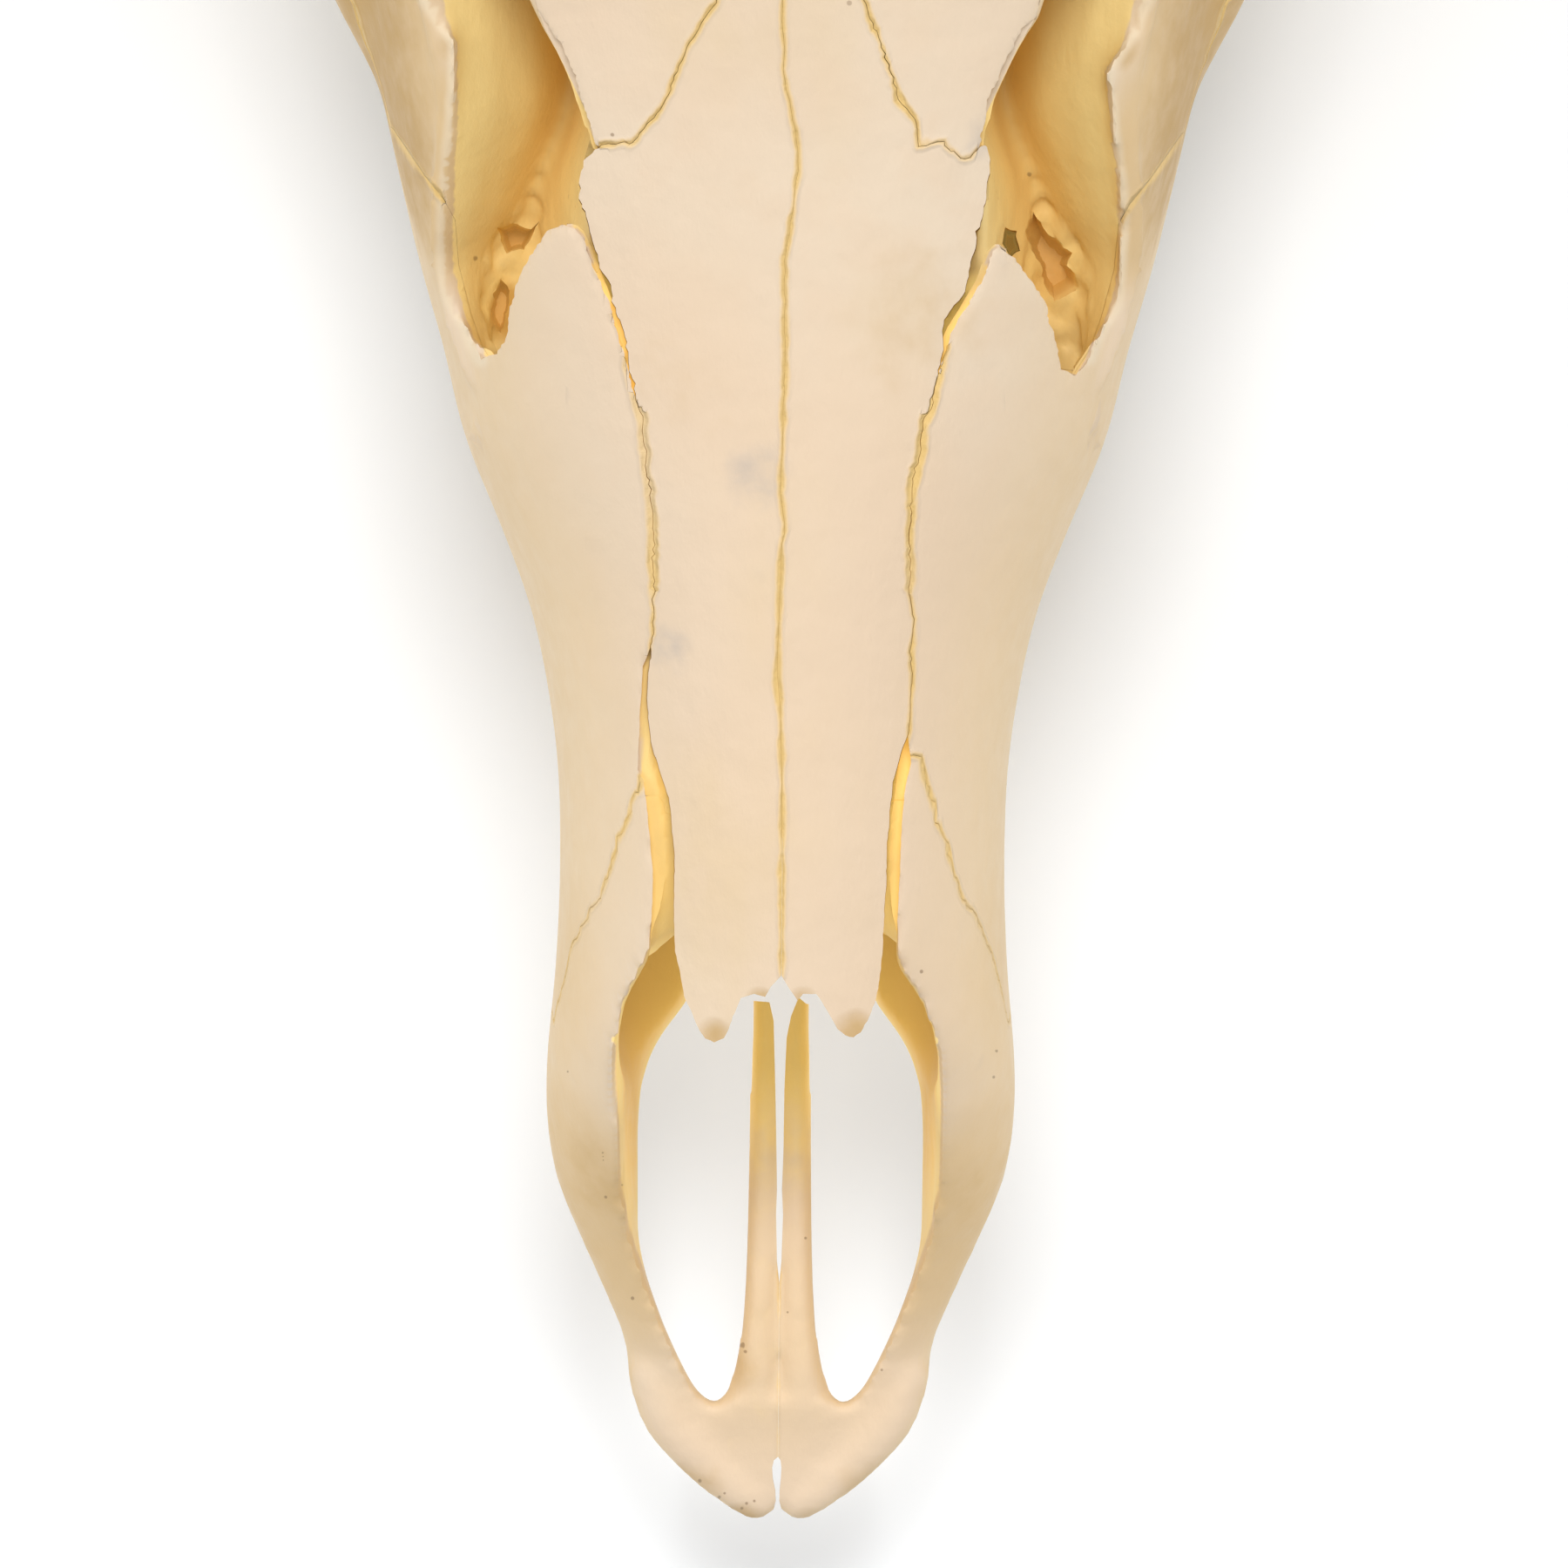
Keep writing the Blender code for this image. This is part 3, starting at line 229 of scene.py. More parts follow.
class Bench:
    """The work with Blender's own tools that every piece needs."""

    @staticmethod
    def deselect() -> None:
        """Leaves nothing selected."""
        if bpy.context.mode != "OBJECT":
            bpy.ops.object.mode_set(mode="OBJECT")
        bpy.ops.object.select_all(action="DESELECT")

    @staticmethod
    def only(obj: Solid) -> Solid:
        """Selects one object alone and makes it the active one.

        Args:
            obj: the object.

        Returns:
            The same object.
        """
        Bench.deselect()
        obj.select_set(True)
        bpy.context.view_layer.objects.active = obj
        return obj

    @staticmethod
    def loft(name: str, rings: Sequence[Sequence[Vector]]) -> Solid:
        """A disc extruded from ring to ring, closed at both ends.

        Args:
            name: The object's name.
            rings: Rings of points, all with the same number of points.

        Returns:
            The closed solid, its faces turned outwards.
        """
        Bench.deselect()
        bpy.ops.mesh.primitive_circle_add(vertices=len(rings[0]), radius=1.0, fill_type="NGON")
        obj = bpy.context.object
        obj.name = name
        bpy.ops.object.mode_set(mode="EDIT")
        bpy.ops.mesh.select_mode(type="FACE")
        bpy.ops.mesh.select_all(action="SELECT")
        order = {index: index for index in range(len(rings[0]))}
        for level, ring in enumerate(rings):
            if level:
                bpy.ops.mesh.extrude_region_move()
            bm = bmesh.from_edit_mesh(obj.data)
            bm.verts.index_update()
            moved = [vert for vert in bm.verts if vert.select]
            if level:
                order = {
                    vert.index: next(
                        order[edge.other_vert(vert).index]
                        for edge in vert.link_edges
                        if not edge.other_vert(vert).select
                    )
                    for vert in moved
                }
            for vert in moved:
                vert.co = ring[order[vert.index]]
            bmesh.update_edit_mesh(obj.data)
        bpy.ops.mesh.select_all(action="SELECT")
        bpy.ops.mesh.quads_convert_to_tris(quad_method="BEAUTY", ngon_method="BEAUTY")
        bpy.ops.mesh.normals_make_consistent(inside=False)
        if bmesh.from_edit_mesh(obj.data).calc_volume(signed=True) < 0:
            bpy.ops.mesh.flip_normals()
        bpy.ops.object.mode_set(mode="OBJECT")
        return obj

    @staticmethod
    def body(name: str, stations: Iterable[Row], pitch: float = 2.0) -> Solid:
        """A solid lofted through sections (s, half width, top, widest, bottom, roof power, keel power)."""
        return Bench.loft(name, [Bench.section(row) for row in spline(stations, pitch)])

    @staticmethod
    def section(row: Row, count: int = 56) -> list[Vector]:
        """A ring across the skull, half of it a rounded roof and half a rounded keel.

        Args:
            row: the section's sizes.
            count: how many points.

        Returns:
            The ring's points.
        """
        s, half_width, top, widest, bottom, roof, keel = row
        ring = []
        for i in range(count):
            angle = math.tau * i / count
            across, up = math.cos(angle), math.sin(angle)
            power = roof if up >= 0 else keel
            height = top - widest if up >= 0 else widest - bottom
            ring.append(at(
                half_width * math.copysign(abs(across) ** (2 / power), across),
                s,
                widest + height * math.copysign(abs(up) ** (2 / power), up),
            ))
        return ring

    @staticmethod
    def sweep(
        name: str,
        stations: Iterable[Row],
        pitch: float = 2.0,
        count: int = 24,
        upright: Row = (0.0, 0.0, 1.0),
    ) -> Solid:
        """A solid along stations of (x, s, z, half thickness, half height), its height kept near upright.

        Args:
            name: its name.
            stations: the stations, in order.
            pitch: how far apart the rings are.
            count: how many points a ring has.
            upright: the direction of its height.

        Returns:
            The solid.
        """
        rows = spline([row if len(row) > 4 else (*row, row[3]) for row in stations], pitch)
        places = [at(*row[:3]) for row in rows]
        rings = []
        for i, row in enumerate(rows):
            along = (places[min(i + 1, len(rows) - 1)] - places[max(i - 1, 0)]).normalized()
            side = along.cross(Vector(upright)).normalized()
            lift = side.cross(along).normalized()
            rings.append([
                places[i] + (side * row[3] * math.cos(angle) + lift * row[4] * math.sin(angle)) * MM
                for angle in (math.tau * j / count for j in range(count))
            ])
        return Bench.loft(name, rings)

    @staticmethod
    def ball(name: str, centre: Row, radii: Row, turn: Row = (0.0, 0.0, 0.0)) -> Solid:
        """A sphere drawn out to three radii, then turned by degrees about x, y and z.

        Args:
            name: its name.
            centre: its middle.
            radii: the radii along x, y and z.
            turn: the angles in degrees.

        Returns:
            The sphere.
        """
        Bench.deselect()
        bpy.ops.mesh.primitive_uv_sphere_add(
            segments=32,
            ring_count=20,
            radius=MM,
            location=at(*centre),
            rotation=[math.radians(angle) for angle in turn],
            scale=radii,
        )
        obj = bpy.context.object
        obj.name = name
        bpy.ops.object.transform_apply(location=True, rotation=True, scale=True)
        return obj

    @staticmethod
    def prism(name: str, outline: Flat, axis: str, low: float, high: float) -> Solid:
        """An outline drawn out from low to high.

        Args:
            name: its name.
            outline: (x, s) points along z, or (s, z) points along x.
            axis: the direction of its height.
            low: where it starts.
            high: where it ends.

        Returns:
            The solid.
        """
        if axis == "z":
            rings = [[at(x, s, level) for x, s in outline] for level in (low, high)]
        else:
            rings = [[at(level, s, z) for s, z in outline] for level in (low, high)]
        return Bench.loft(name, rings)

    @staticmethod
    def copy(obj: Solid, name: str) -> Solid:
        """A copy with its own mesh.

        Args:
            obj: the object.
            name: its name.

        Returns:
            The copy.
        """
        twin = obj.copy()
        twin.data = obj.data.copy()
        twin.name = name
        bpy.context.scene.collection.objects.link(twin)
        return twin

    @staticmethod
    def flip(obj: Solid) -> Solid:
        """Reflects the object in the mid-plane, with its faces still turned outwards.

        Args:
            obj: the object to change.

        Returns:
            The same object.
        """
        obj.data.transform(Matrix.Scale(-1.0, 4, (1.0, 0.0, 0.0)))
        obj.data.flip_normals()
        return obj

    @staticmethod
    def both(obj: Solid) -> list[Solid]:
        """The object and its reflection."""
        return [obj, Bench.flip(Bench.copy(obj, f"{obj.name}_mirror"))]

    @staticmethod
    def modify(obj: Solid, kind: str, **settings: object) -> Solid:
        """Adds a modifier with the given settings and applies it.

        Args:
            obj: the object to change.
            kind: the kind of modifier.

        Returns:
            The same object.
        """
        Bench.only(obj)
        bpy.ops.object.modifier_add(type=kind)
        modifier = obj.modifiers[-1]
        modifier.show_viewport = False
        for key, value in settings.items():
            setattr(modifier, key, value)
        bpy.ops.object.modifier_apply(modifier=modifier.name)
        return obj

    @staticmethod
    def remove(objects: Iterable[Solid]) -> None:
        """Deletes helpers."""
        for obj in objects:
            bpy.data.objects.remove(obj)

    @staticmethod
    def combine(obj: Solid, tools: Sequence[Solid], operation: str) -> Solid:
        """Cuts, keeps or joins with each tool in turn, and deletes the tools.

        Args:
            obj: the object to change.
            tools: the tools to use up.
            operation: DIFFERENCE, INTERSECT or UNION.

        Returns:
            The same object.
        """
        for tool in tools:
            Bench.modify(obj, "BOOLEAN", operation=operation, solver="MANIFOLD", object=tool)
        Bench.remove(tools)
        return obj

    @staticmethod
    def join(objects: Sequence[Solid]) -> Solid:
        """Several objects as one, without changing their skins.

        Args:
            objects: the objects.

        Returns:
            The joined object.
        """
        Bench.deselect()
        for obj in objects:
            obj.select_set(True)
        bpy.context.view_layer.objects.active = objects[0]
        if len(objects) > 1:
            bpy.ops.object.join()
        return objects[0]

    @staticmethod
    def fuse(name: str, pieces: Sequence[Solid], voxel: float, smoothing: int) -> Solid:
        """Overlapping pieces grown into one skin of even cells, and smoothed.

        Args:
            name: its name.
            pieces: the pieces to use up.
            voxel: the size of a cell.
            smoothing: how many rounds of smoothing.

        Returns:
            The skin.
        """
        obj = Bench.join(pieces)
        obj.name = name
        Bench.modify(obj, "REMESH", mode="VOXEL", voxel_size=voxel * MM)
        if smoothing:
            Bench.modify(obj, "SMOOTH", factor=0.5, iterations=smoothing)
        return obj

    @staticmethod
    def thin(obj: Solid, faces: int) -> Solid:
        """Cuts the skin down to about that many triangles.

        Args:
            obj: the object to change.
            faces: the number of triangles.

        Returns:
            The same object.
        """
        triangles = sum(len(face.vertices) - 2 for face in obj.data.polygons)
        if triangles > faces:
            Bench.modify(obj, "DECIMATE", ratio=faces / triangles)
        return obj

    @staticmethod
    def largest(obj: Solid, side: Side | None = None) -> Solid:
        """Leaves only the closed surface with the most faces.

        Args:
            obj: the object to change.
            side: the side of the mid-plane to keep to, if any.

        Returns:
            The same object.
        """
        bm = bmesh.new()
        bm.from_mesh(obj.data)
        left = set(bm.faces)
        shells = []
        while left:
            stack = [left.pop()]
            shell = list(stack)
            while stack:
                for edge in stack.pop().edges:
                    for face in edge.link_faces:
                        if face in left:
                            left.discard(face)
                            stack.append(face)
                            shell.append(face)
            if side is None or sum(face.verts[0].co.x for face in shell) * side.value > 0:
                shells.append(shell)
        keep = set(max(shells, key=len))
        bmesh.ops.delete(bm, geom=[face for face in bm.faces if face not in keep], context="FACES")
        bm.to_mesh(obj.data)
        bm.free()
        return obj

    @staticmethod
    def smooth(obj: Solid, angle: float = 50.0) -> Solid:
        """Shades the skin smooth but keeps the sharp edges.

        Args:
            obj: the object to change.
            angle: the sharpest angle in degrees that is smoothed.

        Returns:
            The same object.
        """
        Bench.only(obj)
        bpy.ops.object.shade_smooth_by_angle(angle=math.radians(angle))
        return obj


@dataclass(frozen=True)
class Detail:
    """How fine the cells are, in millimetres, and how many triangles are kept."""

    mass: float
    wall: float
    face: float
    antler: float
    skull_faces: int


FINE = Detail(mass=1.2, wall=0.62, face=0.42, antler=0.95, skull_faces=520000)


@dataclass(frozen=True)
class Face:
    """The snout and the cheeks, as (s, half width, top, widest, bottom, roof power, keel power)."""

    outside: tuple[Row, ...] = (
        (0, 2.9, 26.2, 24.8, 23.4, 2, 2), (2, 5.8, 26.8, 24.8, 22.8, 2, 2),
        (4.3, 8.4, 27.6, 25.2, 22.4, 2, 2), (7.6, 11, 28.9, 26, 22.4, 2, 2.3),
        (10.9, 12.5, 31, 27.2, 23, 2, 2.5), (14.2, 12.9, 34.2, 28.6, 23.6, 2, 2.6),
        (16.8, 14, 36.4, 29.6, 24.2, 2, 2.6), (20.5, 15.5, 40.2, 31, 25, 2, 2.6),
        (24, 17.1, 44.6, 32.4, 25.6, 2, 2.6), (27.5, 18.3, 49, 33.6, 26, 2, 2.6),
        (31, 18.9, 53.2, 34.6, 26.4, 2, 2.6), (34.5, 19, 57, 35.6, 26.8, 2.1, 2.6),
        (38, 18.8, 60.4, 36.6, 27, 2.2, 2.6), (44, 18.2, 63.4, 38, 27.2, 2.2, 2.6),
        (52, 17.9, 65.2, 39.4, 27.4, 2.2, 2.6), (60, 18.1, 66.6, 40, 27.2, 2.2, 2.6),
        (66, 18.9, 67.7, 40, 26.4, 2.2, 2.6), (72.5, 20.3, 69, 39.6, 25.2, 2.2, 2.6),
        (79.5, 22.9, 70.2, 38.8, 23.4, 2.3, 2.6), (86.5, 25.8, 71.4, 38, 21.2, 2.4, 2.6),
        (93.5, 27.5, 72.6, 37.4, 19.4, 2.5, 2.8), (100, 29.4, 73.8, 37.2, 18.2, 2.5, 3),
        (107, 31.1, 75.2, 37.4, 17.4, 2.5, 3), (114, 32.7, 76.8, 38, 16.6, 2.5, 3),
        (121, 34.2, 78.6, 38.8, 15.8, 2.4, 3), (130, 36.8, 81.2, 41, 15, 2.3, 3),
        (140, 39.6, 84.4, 43, 14.2, 2.2, 3), (150, 41.6, 87.2, 46, 14, 2.2, 2.8),
        (158, 38, 88, 50, 16, 2.2, 2.4), (166, 27, 88, 54, 26, 2.2, 2.2),
    )
    lobe: tuple[Row, ...] = (
        (10.7, 12.2, 28.6, 1.8, 1.8), (9.1, 7.9, 27.2, 2.1, 2.1), (6.5, 4.8, 26.1, 2.1, 2),
        (4.4, 2.9, 25.5, 2, 1.9), (2.5, 1.4, 25, 1.85, 1.8), (1.85, 1, 24.8, 1.65, 1.7),
    )
    lobe_end: Row = (1.8, 0.9, 24.8, 1.7, 1.75, 1.8)
    roof_front: tuple[Row, ...] = (
        (32, 17.8, 60.8, 37, 30, 2.2, 2.6), (38, 18, 62, 37.4, 30, 2.2, 2.6),
    )
    inside: tuple[Row, ...] = (
        (34, 12.2, 70, 40, 31.2, 2.2, 2.4), (44, 15.8, 61, 40, 31.4, 2.2, 2.2),
        (52, 15.6, 62.8, 41, 31.6, 2.2, 2.2), (60, 15.8, 64.2, 42, 31.6, 2.2, 2),
        (66, 16.6, 65.3, 42, 31.4, 2.2, 2), (72.5, 17.8, 66.6, 43, 31, 2.2, 1.9),
        (79.5, 20, 67.8, 44, 30.6, 2.3, 1.8), (86.5, 22.6, 69, 46, 30.4, 2.4, 1.6),
        (93.5, 24.4, 70.2, 48, 30, 2.5, 1.5), (100, 26.2, 71.4, 48, 29.6, 2.5, 1.5),
        (107, 27.8, 72.6, 48, 29.4, 2.5, 1.5), (114, 29, 73.6, 48, 29.4, 2.5, 1.5),
        (121, 29.6, 74.6, 49, 30, 2.4, 1.5), (128, 27.6, 75, 51, 32, 2.3, 1.7), (135, 20, 73, 54, 38, 2.2, 2),
    )
    inside_front: tuple[Row, ...] = (
        (26, 15.4, 57, 40, 20, 2.2, 2.4), (38, 15.6, 59.9, 40, 20, 2.2, 2.4),
    )
    inside_end: float = 131.0

    def solid(self) -> Solid:
        """The snout and cheeks, solid."""
        return Bench.body("face", self.outside, 1.4)

    def lobes(self) -> list[Solid]:
        """The two rounded lobes of the tip.

        Returns:
            The lobes.
        """
        pieces = []
        for piece in (
            Bench.sweep("lobe", self.lobe, 0.8, 20),
            Bench.ball("lobe_end", self.lobe_end[:3], self.lobe_end[3:]),
        ):
            pieces += Bench.both(piece)
        return pieces

    def room(self) -> Solid:
        """The hollow of the nose."""
        rows = [row for row in spline(self.inside, 2.0) if row[0] <= self.inside_end]
        return Bench.loft("room", [Bench.section(row) for row in rows])

    def roof(self, detail: Detail) -> Solid:
        """The roof of the nose alone, out to the tips of the nasal bones.

        Args:
            detail: the mesh's sizes.

        Returns:
            The roof.
        """
        outer = Bench.body("nasal_roof", (*self.roof_front, *self.outside[13:-2]))
        inner = Bench.body("room", (*self.inside_front, *self.inside[1:]))
        below = ((0.0, -30.0), (300.0, -30.0), (300.0, 50.0), (0.0, 50.0))
        Bench.combine(outer, [inner, Bench.prism("below", below, "x", -FAR, FAR)], "DIFFERENCE")
        return Bench.fuse("nasal_roof", [outer], detail.face, 6)

    def depth(self, x: float, s: float, z: float) -> float:
        """How near the outer skin a point is: 1 on the skin, less inside.

        Args:
            x: the distance from the mid-plane.
            s: how far behind the tip of the snout.
            z: the height.

        Returns:
            The nearness.
        """
        row = self._row(s)
        if row is None:
            return 1.0
        _, half_width, top, widest, bottom, roof, keel = row
        power = roof if z > widest else keel
        height = top - widest if z > widest else widest - bottom
        return (abs(x / half_width) ** power + abs((z - widest) / height) ** power) ** (1 / power)

    def _row(self, s: float) -> Row | None:
        """The section at s, or None beyond the snout.

        Args:
            s: how far behind the tip of the snout.

        Returns:
            The section's sizes.
        """
        rows = self.outside
        if s < rows[0][0] or s > rows[-1][0]:
            return None
        for low, high in zip(rows, rows[1:]):
            if s <= high[0]:
                t = (s - low[0]) / (high[0] - low[0])
                return tuple(a + (b - a) * t for a, b in zip(low, high))
        return None


@dataclass(frozen=True)
class BrainBox:
    """The forehead, the case of the brain and what grows from them."""

    forehead: tuple[Row, ...] = (
        (126, 25, 80, 73, 66, 2.2, 2.2), (138, 33, 83.8, 78, 71, 2.6, 2.2), (150, 40, 88, 82, 75.5, 2.8, 2.2),
        (162, 43, 92, 85, 78, 2.8, 2.2), (174, 44.5, 95.6, 87, 79, 2.8, 2.2),
        (186, 44.5, 98.2, 87, 77, 2.8, 2.2), (197, 41.5, 99.8, 84, 68, 2.6, 2.2),
        (209, 37.5, 100, 79, 56, 2.4, 2.2), (222, 35, 96, 70, 46, 2.2, 2.2),
    )
    case: tuple[Row, ...] = (
        (186, 17, 92, 70, 44, 2.1, 2.1), (196, 26, 97, 67, 37, 2.1, 2.1), (208, 32, 98.4, 64, 32, 2.1, 2.1),
        (222, 36, 95.8, 60, 28.5, 2.1, 2.1), (236, 38, 90.2, 56, 26, 2.1, 2.1),
        (248, 38, 83.6, 53, 25, 2.1, 2.1), (258, 36.5, 76.8, 50, 24.6, 2.2, 2.2),
        (266, 34, 70, 48, 25, 2.4, 2.4), (272, 30, 63, 46, 26, 2.4, 2.4),
    )
    stem: tuple[Row, ...] = (
        (140, 9, 86, 60, 40, 2.4, 2.4), (160, 12.5, 90, 62, 40, 2.4, 2.4),
        (178, 13.5, 92, 62, 37.5, 2.4, 2.4), (196, 18, 92, 62, 35, 2.4, 2.4), (214, 22, 90, 58, 31, 2.4, 2.4),
    )
    crest: tuple[Row, ...] = (
        (-31, 262, 44, 3.2), (-27, 266, 60, 3.2), (-14, 269.5, 69.5, 3.2), (0, 271, 71.5, 3.4),
        (14, 269.5, 69.5, 3.2), (27, 266, 60, 3.2), (31, 262, 44, 3.2),
    )
    jugular: tuple[Row, ...] = (
        (29, 262, 40, 5, 8), (28.4, 261, 28, 4.2, 7.6), (26.4, 259.6, 14, 3.2, 6),
        (24.6, 258.4, -2, 2.6, 4.2),
    )
    pterygoid: tuple[Row, ...] = (
        (13, 156, 26, 3.2, 8), (12, 170, 27, 1.9, 9), (11.4, 184, 28, 1.6, 9), (11.6, 198, 32, 1.8, 7),
        (13, 212, 36, 3, 5),
    )
    pedicle: tuple[Row, ...] = (
        (24.6, 205, 82, 19), (28.2, 212.6, 94, 16.4), (31.4, 218.4, 102.6, 14.6), (34, 223, 110, 14.4),
        (37, 228, 118, 14.4),
    )
    knobs: tuple[tuple[str, Row, Row], ...] = (
        ("basioccipital", (0, 252, 29.5), (12.5, 27, 6.5)),
        ("condylar_base", (0, 266, 34), (18, 9.5, 14)),
        ("occipital_knob", (0, 270, 68), (7, 4, 6)),
    )
    ear_tube: tuple[Row, ...] = ((26.0, 240.0, 40.0, 5.4), (35.0, 240.6, 43.0, 5.4), (41.0, 241.4, 45.6, 5.2))

    def solids(self) -> list[Solid]:
        """Everything behind the face, as overlapping solids.

        Returns:
            The solids.
        """
        pieces = [
            Bench.body("forehead", self.forehead),
            Bench.body("case", self.case),
            Bench.body("stem", self.stem),
            *(Bench.ball(*knob) for knob in self.knobs),
            Bench.sweep("crest", self.crest),
        ]
        for piece in (
            Bench.ball("condyle", (10.4, 273.6, 28.6), (8.4, 9.2, 10.6), (-20.0, 0.0, 12.0)),
            Bench.sweep("jugular", self.jugular, upright=(0.0, 1.0, 0.0)),
            Bench.ball("bulla", (19.6, 243.0, 25.4), (6.6, 10.4, 8.0), (0.0, 12.0, -18.0)),
            Bench.sweep("ear_tube", self.ear_tube),
            Bench.ball("mastoid", (33.0, 254.0, 42.0), (6.0, 9.0, 10.0)),
            Bench.sweep("pterygoid", self.pterygoid),
            Bench.sweep("pedicle", self.pedicle),
        ):
            pieces += Bench.both(piece)
        return pieces


@dataclass(frozen=True)
class Cheek:
    """The right cheek bone with its arch, the orbit's rim and the bone that holds the teeth."""

    alveolus: tuple[Row, ...] = (
        (19.4, 86, 23, 4, 5), (21.4, 104, 20.6, 5.4, 7), (24.4, 124, 18.4, 6.6, 8), (25.8, 142, 16.4, 7, 8),
        (25, 160, 16, 6.6, 8), (22.6, 168, 21, 4, 6),
    )
    arch: tuple[Row, ...] = (
        (25, 112, 42, 5.6, 7), (33.2, 126, 43, 5, 8), (39.4, 142, 45, 4.6, 8.4), (45, 158, 46, 4.2, 6.6),
        (50, 172, 46.6, 3.6, 5.4), (54.6, 186, 48, 3.2, 5.2), (55.6, 198, 48.6, 2.6, 4.8),
        (53, 210, 48.6, 2.6, 4.6), (48, 220, 49.4, 3, 5), (40, 228, 51, 5.4, 5), (30, 232, 52, 7, 6),
    )
    bar: tuple[Row, ...] = (
        (36, 196, 91, 6, 5), (44, 194, 84, 7, 4), (50.4, 191.6, 75, 5.6, 3), (54, 190.2, 65, 4.6, 2.6),
        (54.6, 188.6, 56, 5, 2.6), (53.6, 188, 48, 6, 3),
    )
    orbit_centre: Row = (47.4, 170.0, 67.0)
    orbit_turn: float = 19.0
    orbit_tilt: float = 9.0
    orbit_length: float = 20.6
    orbit_height: float = 19.6
    rim_radius: float = 3.3
    socket: Flat = ((16, 1), (6, 0.97), (0, 0.9), (-8, 0.86), (-16, 0.74), (-23, 0.55), (-28, 0.3))

    def solids(self) -> list[Solid]:
        """The solid parts of both cheeks.

        Returns:
            The solids.
        """
        pieces = []
        for piece in (
            Bench.sweep("alveolus", self.alveolus),
            Bench.ball("face_tuber", (29.8, 115.0, 30.0), (2.8, 9.0, 4.4)),
            Bench.sweep("arch", self.arch),
            Bench.ball("jaw_joint", (40.0, 223.0, 46.0), (9.0, 7.0, 4.0)),
        ):
            pieces += Bench.both(piece)
        return pieces

    def directions(self) -> tuple[Vector, Vector, Vector]:
        """Outwards, backwards and up in the orbit's own terms.

        Returns:
            The three directions.
        """
        turn, tilt = math.radians(self.orbit_turn), math.radians(self.orbit_tilt)
        backward = Vector((math.sin(turn), math.cos(turn), 0.0))
        flat = Vector((math.cos(turn), -math.sin(turn), 0.0))
        outward = flat * math.cos(tilt) + Vector((0.0, 0.0, math.sin(tilt)))
        return outward, backward, outward.cross(backward)

    def around(self, depth: float, share: float, angle: float) -> Vector:
        """A place on an oval round the orbit's axis.

        Args:
            depth: how far outwards.
            share: the size of the oval, 1 at the rim.
            angle: the angle round the axis.

        Returns:
            The place.
        """
        outward, backward, up = self.directions()
        reach = backward * self.orbit_length * math.cos(angle) + up * self.orbit_height * math.sin(angle)
        return Vector(self.orbit_centre) + outward * depth + reach * share

    def rim(self) -> Solid:
        """The raised ring round the orbit.

        Returns:
            The ring.
        """
        stations = []
        for i in range(25):
            angle = math.tau * i / 24
            stations.append((*self.around(0.0, 1.0, angle), self.rim_radius + 0.5 * math.cos(angle)))
        return Bench.sweep("rim", stations, upright=(1.0, -0.3, 0.0))

    def strut(self) -> Solid:
        """The flat bar behind the orbit."""
        return Bench.sweep("strut", self.bar, upright=(1.0, 0.0, 0.2))

    def hollow(self) -> Solid:
        """The hollow of the eye.

        Returns:
            The hollow.
        """
        rings = [
            [at(*self.around(depth, share, math.tau * i / 40)) for i in range(40)]
            for depth, share in self.socket
        ]
        return Bench.loft("socket", rings)


